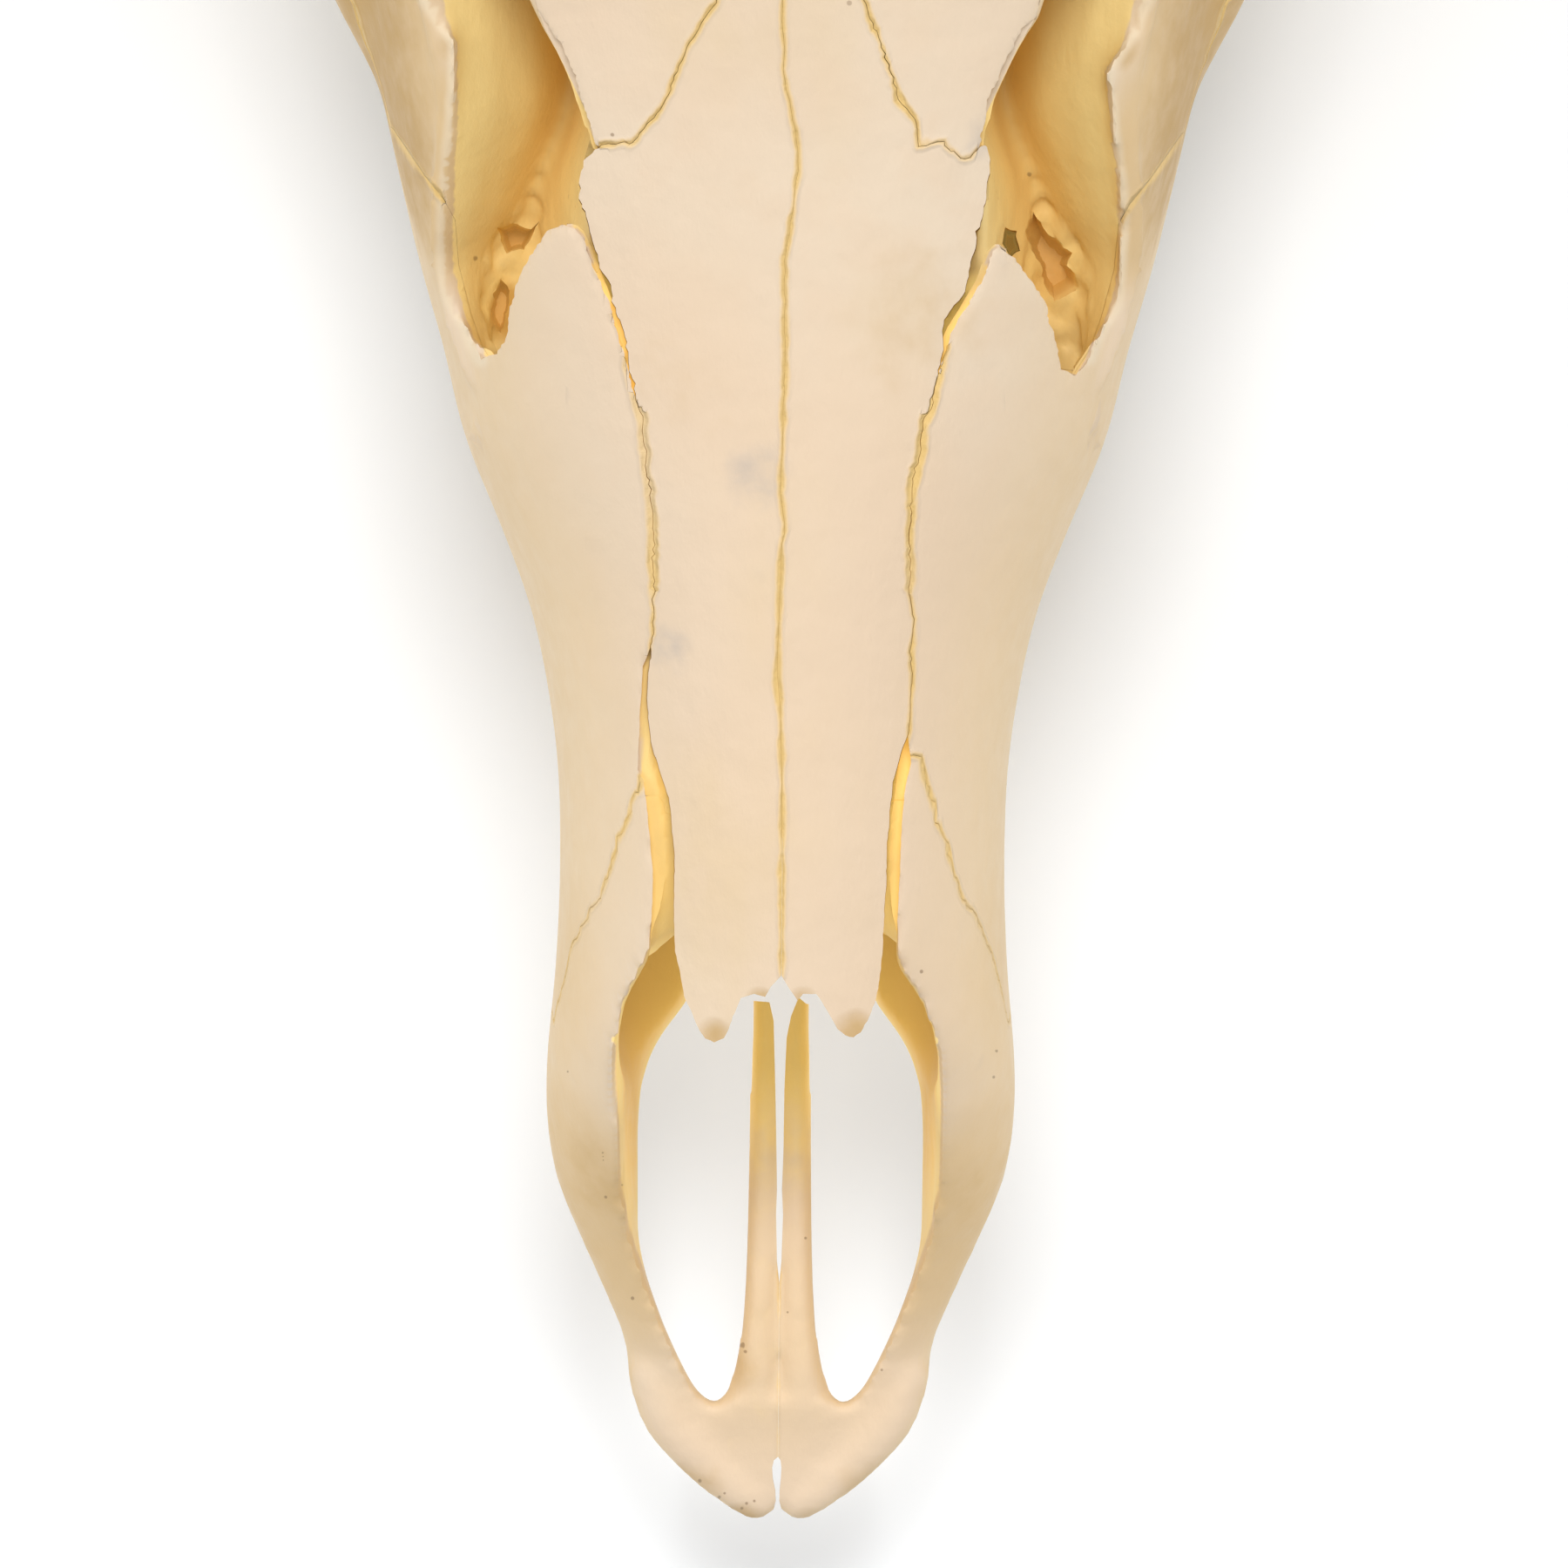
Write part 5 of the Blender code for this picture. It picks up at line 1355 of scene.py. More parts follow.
@dataclass(frozen=True)
class Ageing:
    """Places where the bone has changed, as (x, s, z, radius, strength) for each kind of change, and the
    places of a painted glow (lit), where shaded hollows are made to give off light.
    """

    tables: dict[str, tuple[Row, ...]] = field(default_factory=lambda: {
        "aged": (
            (-33.4, 112, 50, 14, 1.25), (-34.6, 120, 52, 13, 1.25), (-36, 128, 56, 13, 1.1),
            (33.4, 112, 50, 14, 1.2), (34.6, 120, 52, 13, 1.2), (36, 128, 56, 13, 1.1),
            (28.8, 120, 66.5, 2.6, 1.1), (-28, 117, 66, 2.2, 0.9), (27.2, 117.2, 66, 2.2, 0.9),
            (-15, 25, 44, 8, 0.6), (15.4, 24, 43, 7, 0.45), (-6.8, 2.8, 25, 4, 0.8), (6.8, 2.8, 25, 4, 0.7),
            (-2.6, -0.2, 24.6, 2.4, 1.1), (2.6, -0.2, 24.6, 2.2, 0.9), (-12, 10.6, 27, 4, 0.5),
            (12, 10.6, 27, 4, 0.5), (11, 96, 72, 9, 0.45), (-9, 90, 72, 8, 0.3), (-3.4, 11.6, 29.6, 3, 0.6),
            (-5.2, 38.2, 61.5, 2.2, 0.9), (5.9, 38.6, 61.5, 2.6, 1), (-1.7, 41.4, 62.6, 1.5, 0.9),
            (1.7, 41.4, 62.6, 1.5, 0.8),
        ),
        "tanned": (
            (-13, 23, 38, 17, 1), (13, 23, 38, 17, 0.9), (0, 14, 29, 15, 0.5), (-31, 109, 56, 14, 1.4),
            (31, 109, 56, 14, 1.4), (-34, 118, 54, 15, 1.5), (34, 118, 54, 15, 1.5), (-37, 128, 58, 15, 1.3),
            (37, 128, 58, 15, 1.3), (-17.6, 44, 48, 10, 0.5), (17.6, 44, 48, 10, 0.5),
        ),
        "browned": (
            (-21.5, 102.2, 47.4, 3, 1.2), (-22.8, 96.6, 47.4, 4, 1.2), (21.3, 100.8, 47.4, 4.4, 1.1),
            (18, 102.2, 48.4, 2.4, 1.8),
        ),
        # Painted glow: places where the inner bone is made to give off golden light, as if lit through, in
        # shaded hollows.
        "lit": (
            (-11.4, 42, 47, 12, 1.5), (11.4, 42, 47, 12, 1.5), (-12.6, 29, 38, 9, 0.45),
            (12.6, 29, 38, 9, 0.45), (-9.6, 50, 57, 7, 0.55), (-9.8, 58, 60, 7, 0.5), (9.2, 50, 57, 7, 0.9),
            (9.2, 58, 60, 8, 1.2), (-2.4, 40, 30.4, 14, 1), (2.4, 40, 30.4, 14, 1), (-12.4, 80, 65, 6, 2),
            (-13.4, 88, 66, 6, 2), (-15, 96, 66, 6, 2), (11.6, 78, 65, 6, 1.6), (13, 88, 66, 6, 2),
            (15, 95, 66, 5, 2), (-21.5, 102.2, 47.4, 4, 0.6), (-22.8, 96.6, 47.4, 5, 0.6),
            (21.3, 100.8, 47.4, 5, 0.5), (18, 102.2, 48.4, 3, 0.7),
        ),
        "greyed": (
            (-2.2, 83.2, 70.4, 4, 0.8), (-9.7, 69.1, 66.6, 3.4, 0.9), (-1.6, 76, 69.4, 3, 0.4),
            (8.6, 42, 63.4, 3.6, 0.7), (-12.4, 33, 52, 3, 0.5), (15, 28, 47, 4.4, 0.5),
            (16.6, 100.5, 69, 3.4, 0.5), (-4, 60, 66, 6, 0.25), (16, 110, 74, 3, 0.8),
            (17.2, 36.2, 50, 2.4, 0.8), (17, 29.7, 44, 1.8, 0.7),
        ),
    })

    @staticmethod
    def at(table: tuple[Row, ...], x: float, s: float, z: float) -> float:
        """How strongly a place is marked by a table, from 0 up.

        Args:
            table: the table of places.
            x: the distance from the mid-plane.
            s: how far behind the tip of the snout.
            z: the height.

        Returns:
            The strength.
        """
        mark = 0.0
        for px, ps, pz, radius, strength in table:
            near = max(0.0, 1.0 - math.dist((x, s, z), (px, ps, pz)) / radius)
            mark = max(mark, strength * near * (2.0 - near))
        return mark


class Skull:
    """Builds the fine bones from one fused skull, parted along wavy sutures."""

    def __init__(self, detail: Detail) -> None:
        """Keeps the level of detail and the sizes of the parts.

        Args:
            detail: the mesh's sizes.
        """
        self.detail = detail
        self.face = Face()
        self.box = BrainBox()
        self.cheek = Cheek()
        self.openings = Openings()
        self.map = BoneMap()
        self.bones: dict[str, Solid] = {}
        self.ageing = Ageing()

    def mark(self) -> None:
        """Stores on every bone how near its neighbours are, how far out it lies, how aged it is, and where it
        has painted glow and painted shade.
        """
        trees, boxes = {}, {}
        for name, bone in self.bones.items():
            places = [vertex.co.copy() for vertex in bone.data.vertices]
            trees[name] = BVHTree.FromPolygons(places, [tuple(face.vertices) for face in bone.data.polygons])
            boxes[name] = [(min(row) - 2 * MM, max(row) + 2 * MM) for row in zip(*places)]
        for name, bone in self.bones.items():
            near = [
                (trees[other], box) for other, box in boxes.items()
                if other != name and all(a[0] < b[1] and b[0] < a[1] for a, b in zip(box, boxes[name]))
            ]
            seams, depths, lips, stains_and_painted_glow = [], [], [], []
            for vertex in bone.data.vertices:
                place = vertex.co
                gap = SEAM_REACH
                for tree, box in near:
                    if all(low < value < high for value, (low, high) in zip(place, box)):
                        distance = tree.find_nearest(place, gap * MM)[3]
                        gap = gap if distance is None else min(gap, distance / MM)
                x, y, z = place / MM
                s = y + MIDDLE
                calm = 0.3 - 0.3 * share_of(s, 16.0, 22.0)
                calm -= 0.22 * (74.0 < s < 104.0 and 9.0 < abs(x) < 17.0)
                # Painted shade: the palate bars take the golden inner colour towards the back, where the
                # nasal tips shade them.
                if abs(x) < 4.6 and s < 46.0 and z < 34.0:
                    depths.append(0.955 - 0.04 * share_of(s, 22.0, 38.0))
                else:
                    depth = 1.0 + (self.face.depth(x, s, z) - 1.0) * share_of(s, 17.0, 29.0)
                    # Painted shade under the edges of slots and gaps.
                    depth = self.openings.shaded(x, s, z, depth)
                    depths.append(depth + (1.0 - depth) * share_of(s, 138.0, 146.0))
                seams.append(SEAM_REACH if self.openings.hidden(x, s, depths[-1]) else gap + calm)
                stains_and_painted_glow.append([self.ageing.at(table, x, s, z) for table in self.ageing.tables.values()])
                lips.append(self.openings.lip(x, s, z))
            # These layers hold the real stains and the painted glow.
            stained = zip(self.ageing.tables, zip(*stains_and_painted_glow))
            for label, values in (("seam", seams), ("depth", depths), ("lip", lips), *stained):
                bone.data.attributes.new(label, "FLOAT", "POINT").data.foreach_set("value", values)

    def whole(self) -> Solid:
        """The whole skull as one thin-walled skin, not yet parted.

        Returns:
            The skin.
        """
        pieces = [self.face.solid(), *self.box.solids(), *self.cheek.solids()]
        rounds = round(8 * (1.5 / self.detail.mass) ** 2)
        skull = Bench.fuse("skull", pieces, self.detail.mass, rounds)
        Bench.combine(skull, self.openings.cutters(self.face, self.cheek), "DIFFERENCE")
        rounds = round(3 / self.detail.wall**2)
        pieces = [skull, *self.face.lobes(), *self.openings.additions(self.cheek)]
        skull = Bench.thin(Bench.fuse("skull", pieces, self.detail.wall, rounds), self.detail.skull_faces)
        self.openings.roughened(skull)
        below = ((-50.0, -50.0), (330.0, -50.0), (330.0, 0.0), (-50.0, 0.0))
        slits = [Bench.prism("slit", slit, "z", 10.0, 40.0) for slit in self.openings.slits]
        Bench.combine(skull, [Bench.prism("below", below, "x", -FAR, FAR), *slits], "DIFFERENCE")
        return Bench.combine(skull, self.openings.edges(), "DIFFERENCE")

    def outline(self, name: str, side: Side, axis: str) -> Flat:
        """The wavy outline of a paired bone.

        Args:
            name: the bone's name.
            side: the side of the skull.
            axis: the direction that it is seen in.

        Returns:
            The outline.
        """
        smooth = getattr(self.map, name)
        if isinstance(smooth, dict):
            smooth = smooth[side]
        wavy = ragged(smooth, 0.4, 0.42, 5.0 * side.value + len(name))
        if name == "nasal":
            calm = ragged(smooth, 0.4, 0.09, 5.0 * side.value + 5.0)
            wild = ragged(smooth, 0.4, 0.24, 5.0 * side.value + 5.0, 0.22)
            wavy = tuple(still if still[1] < 68.0 else moved for still, moved in zip(calm, wild))
        if axis == "x":
            return wavy
        if name != "nasal":
            return tuple((side.value * (x if x > 0.6 else 0.0), s) for x, s in wavy)
        shift = -side.value * MIDDLE_SHIFT
        inner = tuple((self.middle(s) + shift, s) for s in (129.0 - 0.8 * i for i in range(107)))
        return (*((x * side.value, s) for x, s in wavy), *inner)

    def middle(self, s: float) -> float:
        """Where the suture between the nasal bones runs.

        Args:
            s: how far behind the tip of the snout.

        Returns:
            The suture's x.
        """
        place = Vector((s * 0.55, s * 1.3, 4.0))
        waver = 0.16 * noise.noise(place) * max(0.2, share_of(s, 60.0, 100.0))
        return value_at(self.map.midline, s) + waver

    def take(
        self, skull: Solid, name: str, axis: str = "x", low: float = 0.0, high: float = FAR
    ) -> None:
        """Cuts the right and left bone of a name out of the skull.

        Args:
            skull: the whole skull.
            name: the bone's name.
            axis: the direction of its height.
            low: where it starts.
            high: where it ends.
        """
        flats = {side: self.outline(name, side, axis) for side in Side}
        top = getattr(self.map, f"{name}_top", ())
        keeps = [self._tool(flats[side], axis, side, low, high, -HALF_SEAM, top) for side in Side]
        pair = Bench.combine(Bench.copy(skull, f"{name}_pair"), [Bench.join(keeps)], "INTERSECT")
        for side in Side:
            bone = Bench.copy(pair, f"{name}_bone_{side.label}")
            self.bones[f"{name}_{side.label}"] = Bench.largest(bone, side)
        Bench.remove([pair])
        cuts = [self._tool(flats[side], axis, side, low, high, HALF_SEAM, top) for side in Side]
        Bench.combine(skull, cuts, "DIFFERENCE")

    @staticmethod
    def _tool(
        flat: Flat, axis: str, side: Side, low: float, high: float, growth: float, top: Flat = ()
    ) -> Solid:
        """The prism that keeps or clears a paired bone.

        Args:
            flat: the bone's outline.
            axis: the direction of its height.
            side: the side of the skull.
            low: where it starts.
            high: where it ends.
            growth: how far the outline moves out.
            top: a second outline, seen from above, if there is one.

        Returns:
            The prism.
        """
        outline = grown(flat, growth, SEAM_WAVER if axis == "z" else 0.3 * SEAM_WAVER)
        if axis == "z":
            return Bench.prism("region", outline, "z", low - growth, high + growth)
        prism = Bench.prism("region", outline, "x", low - growth, FAR)
        if top:
            above = Bench.prism("region", grown(top, 0.4 * growth), "z", 0.0, FAR)
            Bench.combine(prism, [above], "INTERSECT")
        return prism if side is Side.RIGHT else Bench.flip(prism)

    def take_one(
        self, skull: Solid, name: str, axis: str = "x", low: float = -FAR, high: float = FAR
    ) -> None:
        """Cuts a bone that crosses the mid-plane out of the skull.

        Args:
            skull: the whole skull.
            name: the bone's name.
            axis: the direction of its height.
            low: where it starts.
            high: where it ends.
        """
        flat = ragged(getattr(self.map, name), 1.2, 0.6, float(len(name)))
        keep = Bench.prism("region", grown(flat, -HALF_SEAM, SEAM_WAVER), axis, low + HALF_SEAM, high)
        bone = Bench.combine(Bench.copy(skull, f"{name}_bone"), [keep], "INTERSECT")
        self.bones[name] = Bench.largest(bone)
        cut = Bench.prism("region", grown(flat, HALF_SEAM, SEAM_WAVER), axis, low - HALF_SEAM, high)
        Bench.combine(skull, [cut], "DIFFERENCE")

    def build(self) -> dict[str, Solid]:
        """All bones, as a dictionary from the name of the node that each one replaces.

        Returns:
            The bones.
        """
        roof = self.face.roof(self.detail)
        self.take(roof, "nasal", "z", 50.0)
        Bench.remove([roof])
        LOG.info("nasal bones cut")
        skull = self.whole()
        LOG.info("skull fused, %d faces", len(skull.data.polygons))
        rooms = [
            Bench.prism("room", grown(self.outline("nasal", side, "z"), HALF_SEAM), "z", 55.0, FAR)
            for side in Side
        ]
        Bench.combine(skull, rooms, "DIFFERENCE")
        self.take_one(skull, "vomer", "z", self.map.vomer_foot, 60.0)
        self.take(skull, "premaxilla", low=-MIDDLE_SHIFT)
        self.take(skull, "lacrimal", low=10.0)
        self.take(skull, "frontal")
        self.take(skull, "zygomatic", low=22.0)
        self.take_one(skull, "occipital")
        self.take_one(skull, "parietal")
        self.take(skull, "palatine", "z", -10.0, self.map.palatine_top)
        self.take(skull, "maxilla")
        self.take(skull, "temporal", "z", -10.0)
        skull.name = "sphenoid_bone"
        self.bones["sphenoid"] = Bench.largest(skull)
        self.mark()
        LOG.info("skull parted into %d bones", len(self.bones))
        return self.bones


@dataclass(frozen=True)
class Teeth:
    """The six cheek teeth of each side, as (length along s, s, x, width, height of the worn face)."""

    rows: tuple[Row, ...] = (
        (9.6, 93.6, 19.4, 8.6, 6), (9.6, 103.4, 21.4, 10.4, 4.8), (9.2, 113, 23.4, 12.2, 3.6),
        (13.2, 124.4, 25.2, 13.6, 1.6), (15, 139, 26.2, 14.6, 0), (15, 154.2, 25.4, 14, 0),
    )
    molar: Flat = (
        (0.55, -1), (0.95, -0.85), (1, -0.5), (0.78, -0.05), (1, 0.4), (0.95, 0.85), (0.55, 1), (-0.5, 0.98),
        (-0.95, 0.78), (-0.98, 0.42), (-0.62, 0), (-0.98, -0.48), (-0.9, -0.85), (-0.45, -1),
    )
    premolar: Flat = (
        (0.5, -1), (0.95, -0.7), (1, 0.05), (0.95, 0.7), (0.5, 1), (-0.4, 1), (-0.9, 0.6), (-1, 0),
        (-0.9, -0.6), (-0.4, -1),
    )
    space: float = 0.5
    root_top: float = 22.0
    crescent_width: float = 0.13

    def _crown(self, row: Row) -> Solid:
        """One tooth with its waist, without the hollows of its worn face.

        Args:
            row: the tooth's place and sizes.

        Returns:
            The tooth.
        """
        length, s, x, width, low = row
        outline = self.molar if length > 12.0 else self.premolar
        smooth = spline([(*point, 0.0) for point in (*outline, outline[0])], 0.07)[:-1]
        rings = []
        deep = length - self.space
        for z, share in ((self.root_top, 0.55), (low + 9, 0.86), (low + 6, 1), (low + 2, 0.98), (low, 0.9)):
            rings.append([
                at(x + 0.04 * (z - low) + share * across * width / 2, s + share * along * deep / 2, z)
                for across, along, _ in smooth
            ])
        return Bench.loft("tooth", rings)

    def _crescent(self, row: Row, middle: float, inner: float) -> Solid:
        """A curved hollow in the worn face, its open side outwards.

        Args:
            row: the tooth's place and sizes.
            middle: its place along the tooth.
            inner: whether it lies on the side of the tongue.

        Returns:
            The hollow.
        """
        length, s, x, width, low = row
        half = 0.36 * length / (2.0 if length > 12.0 else 1.2)
        stations = []
        for i in range(9):
            t = i / 4 - 1
            across = inner * width / 2 + 0.14 * width * (t * t - 0.5)
            thick = self.crescent_width * width / 2 * (1.15 - 0.75 * t * t)
            high = 1.5 * (1.1 - 0.5 * t * t)
            stations.append((x + across, s + middle * length / 2 + half * t, low, thick, high))
        return Bench.sweep("crescent", stations, 0.8, 10)

    def build(self, side: Side) -> Solid:
        """The row of one side, as one piece.

        Args:
            side: the side of the skull.

        Returns:
            The row.
        """
        row_of_teeth = []
        for row in self.rows:
            middles = (-0.5, 0.5) if row[0] > 12.0 else (0.0,)
            cuts = [self._crescent(row, middle, inner) for middle in middles for inner in (-0.42, 0.3)]
            tooth = Bench.combine(self._crown(row), cuts, "DIFFERENCE")
            row_of_teeth.append(Bench.fuse("tooth", [tooth], 0.34, 3))
        piece = Bench.join(row_of_teeth)
        piece.name = f"cheek_teeth_{side.label}"
        return piece if side is Side.RIGHT else Bench.flip(piece)


@dataclass(frozen=True)
class Antler:
    """The right antler: its beam and tines as (x, s, z, radius)."""

    beam: tuple[Row, ...] = (
        (30.5, 217, 101, 14.2), (34, 223, 110, 14.6), (38.5, 230, 121, 15.8), (46, 238.5, 139, 15.6),
        (62, 249, 165, 14.6), (84, 256, 193, 14.2), (112, 257, 220, 14.4), (142, 247, 242, 13.6),
        (170, 226, 257, 12.8), (191, 197, 267, 12.2), (203, 163, 274, 10.8), (205, 126, 281, 9.4),
        (197, 90, 290, 7.8), (181, 57, 301, 5.8), (160, 31, 314, 3.6), (148, 19, 322, 1.3),
    )
    brow_tine: tuple[Row, ...] = (
        (45, 236, 138, 10.5), (47, 221, 162, 8.6), (46, 210.5, 184, 6.8), (42, 204, 206, 4.8),
        (38, 202, 228, 1.3),
    )
    second_tine: tuple[Row, ...] = (
        (112, 257, 220, 12), (119, 259, 258, 10.2), (122, 257, 280, 9), (121, 250, 310, 7.4),
        (117, 241, 344, 5.4), (112, 233, 372, 3.2), (110, 229, 384, 1.3),
    )
    third_tine: tuple[Row, ...] = (
        (190, 198, 267, 10.4), (197, 198, 292, 8.8), (201, 193, 314, 7.2), (200, 184, 342, 5.2),
        (196, 176, 366, 3), (194, 173, 376, 1.3),
    )
    burr_centre: Row = (35.4, 225.0, 113.6)
    burr_normal: Row = (0.36, 0.50, 0.79)
    burr_radius: float = 18.6
    burr_knobs: int = 26
    foot: float = -5.0
    tine_margin: float = 2.0
    beam_margin: float = 24.0
    gap: float = 0.05
    groove_depth: float = 0.85
    pearl_height: float = 1.5
    pearl_reach: float = 120.0

    def _branch(self, name: str, stations: Sequence[Row], seed: float) -> Solid:
        """A beam or tine with lengthwise grooves that fade out towards its tip.

        Args:
            name: its name.
            stations: the stations, in order.
            seed: what the noise starts from.

        Returns:
            The beam or tine.
        """
        rows = spline(stations, 1.6)
        places = [at(*row[:3]) for row in rows]
        rings, travelled = [], 0.0
        for i, row in enumerate(rows):
            along = (places[min(i + 1, len(rows) - 1)] - places[max(i - 1, 0)]).normalized()
            side = along.cross(Vector((0.0, 0.0, 1.0))).normalized()
            lift = side.cross(along).normalized()
            travelled += (places[i] - places[max(i - 1, 0)]).length / MM
            rough = self.groove_depth * min(1.0, max(0.0, (row[3] - 3.0) / 8.0))
            ring = []
            for j in range(72):
                angle = math.tau * j / 72
                across, up = math.cos(angle), math.sin(angle)
                furrow = noise.noise(Vector((across * 2.9, up * 2.9, travelled * 0.016 + seed)))
                fine = noise.noise(Vector((across * 7.0, up * 7.0, travelled * 0.03 + seed + 5.0)))
                radius = row[3] + rough * (furrow * 1.5 + fine * 0.7)
                ring.append(places[i] + (side * across + lift * up) * radius * MM)
            rings.append(ring)
        return Bench.loft(name, rings)

    def _burr(self, seed: int) -> list[Solid]:
        """The knobbly ring round the foot.

        Args:
            seed: what the noise starts from.

        Returns:
            The knobs.
        """
        draw = random.Random(seed)
        normal = Vector(self.burr_normal).normalized()
        side = normal.cross(Vector((0.0, 0.0, 1.0))).normalized()
        ahead = normal.cross(side)
        knobs = []
        for i in range(self.burr_knobs):
            angle = math.tau * (i + draw.uniform(-0.25, 0.25)) / self.burr_knobs
            reach = self.burr_radius - draw.uniform(2.6, 4.2)
            place = Vector(self.burr_centre) + (side * math.cos(angle) + ahead * math.sin(angle)) * reach
            place += normal * draw.uniform(-1.0, 1.2)
            size = draw.uniform(2.9, 4.6)
            knobs.append(Bench.ball("knob", place, (size, size, size * draw.uniform(0.8, 1.3))))
        return knobs

    def _pearl(self, obj: Solid, seed: float) -> None:
        """Raises small pearls over the lower beam, fewer and lower with the distance from the burr.

        Args:
            obj: the object to change.
            seed: what the noise starts from.
        """
        centre = at(*self.burr_centre)
        places = []
        for vertex in obj.data.vertices:
            distance = (vertex.co - centre).length / MM
            fade = max(0.0, 1.0 - distance / self.pearl_reach)
            grain = noise.noise(vertex.co * 700.0) * 0.12
            bump = 0.0
            if fade:
                nearest = noise.voronoi(vertex.co * 230.0 + Vector((seed, 0.0, 0.0)))[0][0]
                bump = self.pearl_height * fade * max(0.0, 1.0 - (nearest / 0.55) ** 2)
            places.append(vertex.co + vertex.normal * (bump + grain) * MM)
        obj.data.vertices.foreach_set("co", [value for place in places for value in place])

    def _slab(self, lower: float, upper: float) -> Solid:
        """A block square to the foot, between two heights along the pedicle.

        Args:
            lower: the lower height.
            upper: the upper height.

        Returns:
            The block.
        """
        normal = Vector(self.burr_normal).normalized()
        ends = [Vector(self.burr_centre) + normal * level for level in (lower, upper)]
        return Bench.sweep("slab", [(*end, 60.0) for end in ends], FAR, 8)

    def _sleeve(self, stations: Sequence[Row], margin: float, growth: float) -> Solid:
        """A tube wider by a margin than the stations, and longer than the tip.

        Args:
            stations: the stations, in order.
            margin: how much wider.
            growth: how much longer.

        Returns:
            The tube.
        """
        first, second = Vector(stations[0][:3]), Vector(stations[1][:3])
        begin = first - (second - first).normalized() * growth
        last = Vector(stations[-1][:3])
        last += (last - Vector(stations[-2][:3])).normalized() * 8.0
        wide = margin + growth
        rows = [(*begin, stations[0][3] + wide), *((*row[:3], row[3] + wide) for row in stations[1:])]
        return Bench.sweep("sleeve", [*rows, (*last, wide)], 4.0, 24)

    def _mark(self, obj: Solid) -> None:
        """Stores at each point how near a tip it is, from 0 to 1.

        Args:
            obj: the object to change.
        """
        tips = [at(*rows[-1][:3]) for rows in (self.beam, self.brow_tine, self.second_tine, self.third_tine)]
        worn = []
        for vertex in obj.data.vertices:
            place = Vector((abs(vertex.co.x), vertex.co.y, vertex.co.z))
            distance = min((place - tip).length for tip in tips) / MM
            worn.append(max(0.0, 1.0 - distance / 85.0))
        obj.data.attributes.new("worn", "FLOAT", "POINT").data.foreach_set("value", worn)

    def build(self, side: Side, detail: Detail) -> dict[str, Solid]:
        """The pieces of one antler, parted from the pedicle and at the forks.

        Args:
            side: the side of the skull.
            detail: the mesh's sizes.

        Returns:
            The pieces, by the name of the node that each one replaces.
        """
        seed = 20.0 + 7.0 * side.value
        branches = [
            self._branch("beam", self.beam, seed),
            self._branch("brow", self.brow_tine, seed + 1.0),
            self._branch("second", self.second_tine, seed + 2.0),
            self._branch("third", self.third_tine, seed + 3.0),
        ]
        whole = Bench.fuse("antler", [*branches, *self._burr(int(seed))], detail.antler, 2)
        self._pearl(whole, seed)
        half = self.gap / 2
        Bench.combine(whole, [self._slab(-60.0, self.foot + half)], "DIFFERENCE")
        made = {}
        for name, stations, margin in (
            ("brow_tine", self.brow_tine[1:], self.tine_margin),
            ("second_tine", self.second_tine[1:], self.tine_margin),
            ("third_tine", self.third_tine[1:], self.tine_margin),
            ("beam_upper", self.beam[10:], self.beam_margin),
            ("beam_middle", self.beam[7:], self.beam_margin),
        ):
            piece = Bench.copy(whole, name)
            Bench.combine(piece, [self._sleeve(stations, margin, -half)], "INTERSECT")
            Bench.combine(whole, [self._sleeve(stations, margin, half)], "DIFFERENCE")
            made[name] = Bench.largest(piece)
        made["beam_lower"] = Bench.largest(whole)
        for name, piece in made.items():
            piece.name = f"antler_{name}_{side.label}"
            self._mark(piece)
            if side is Side.LEFT:
                Bench.flip(piece)
        return {f"{name}_{side.label}": piece for name, piece in made.items()}


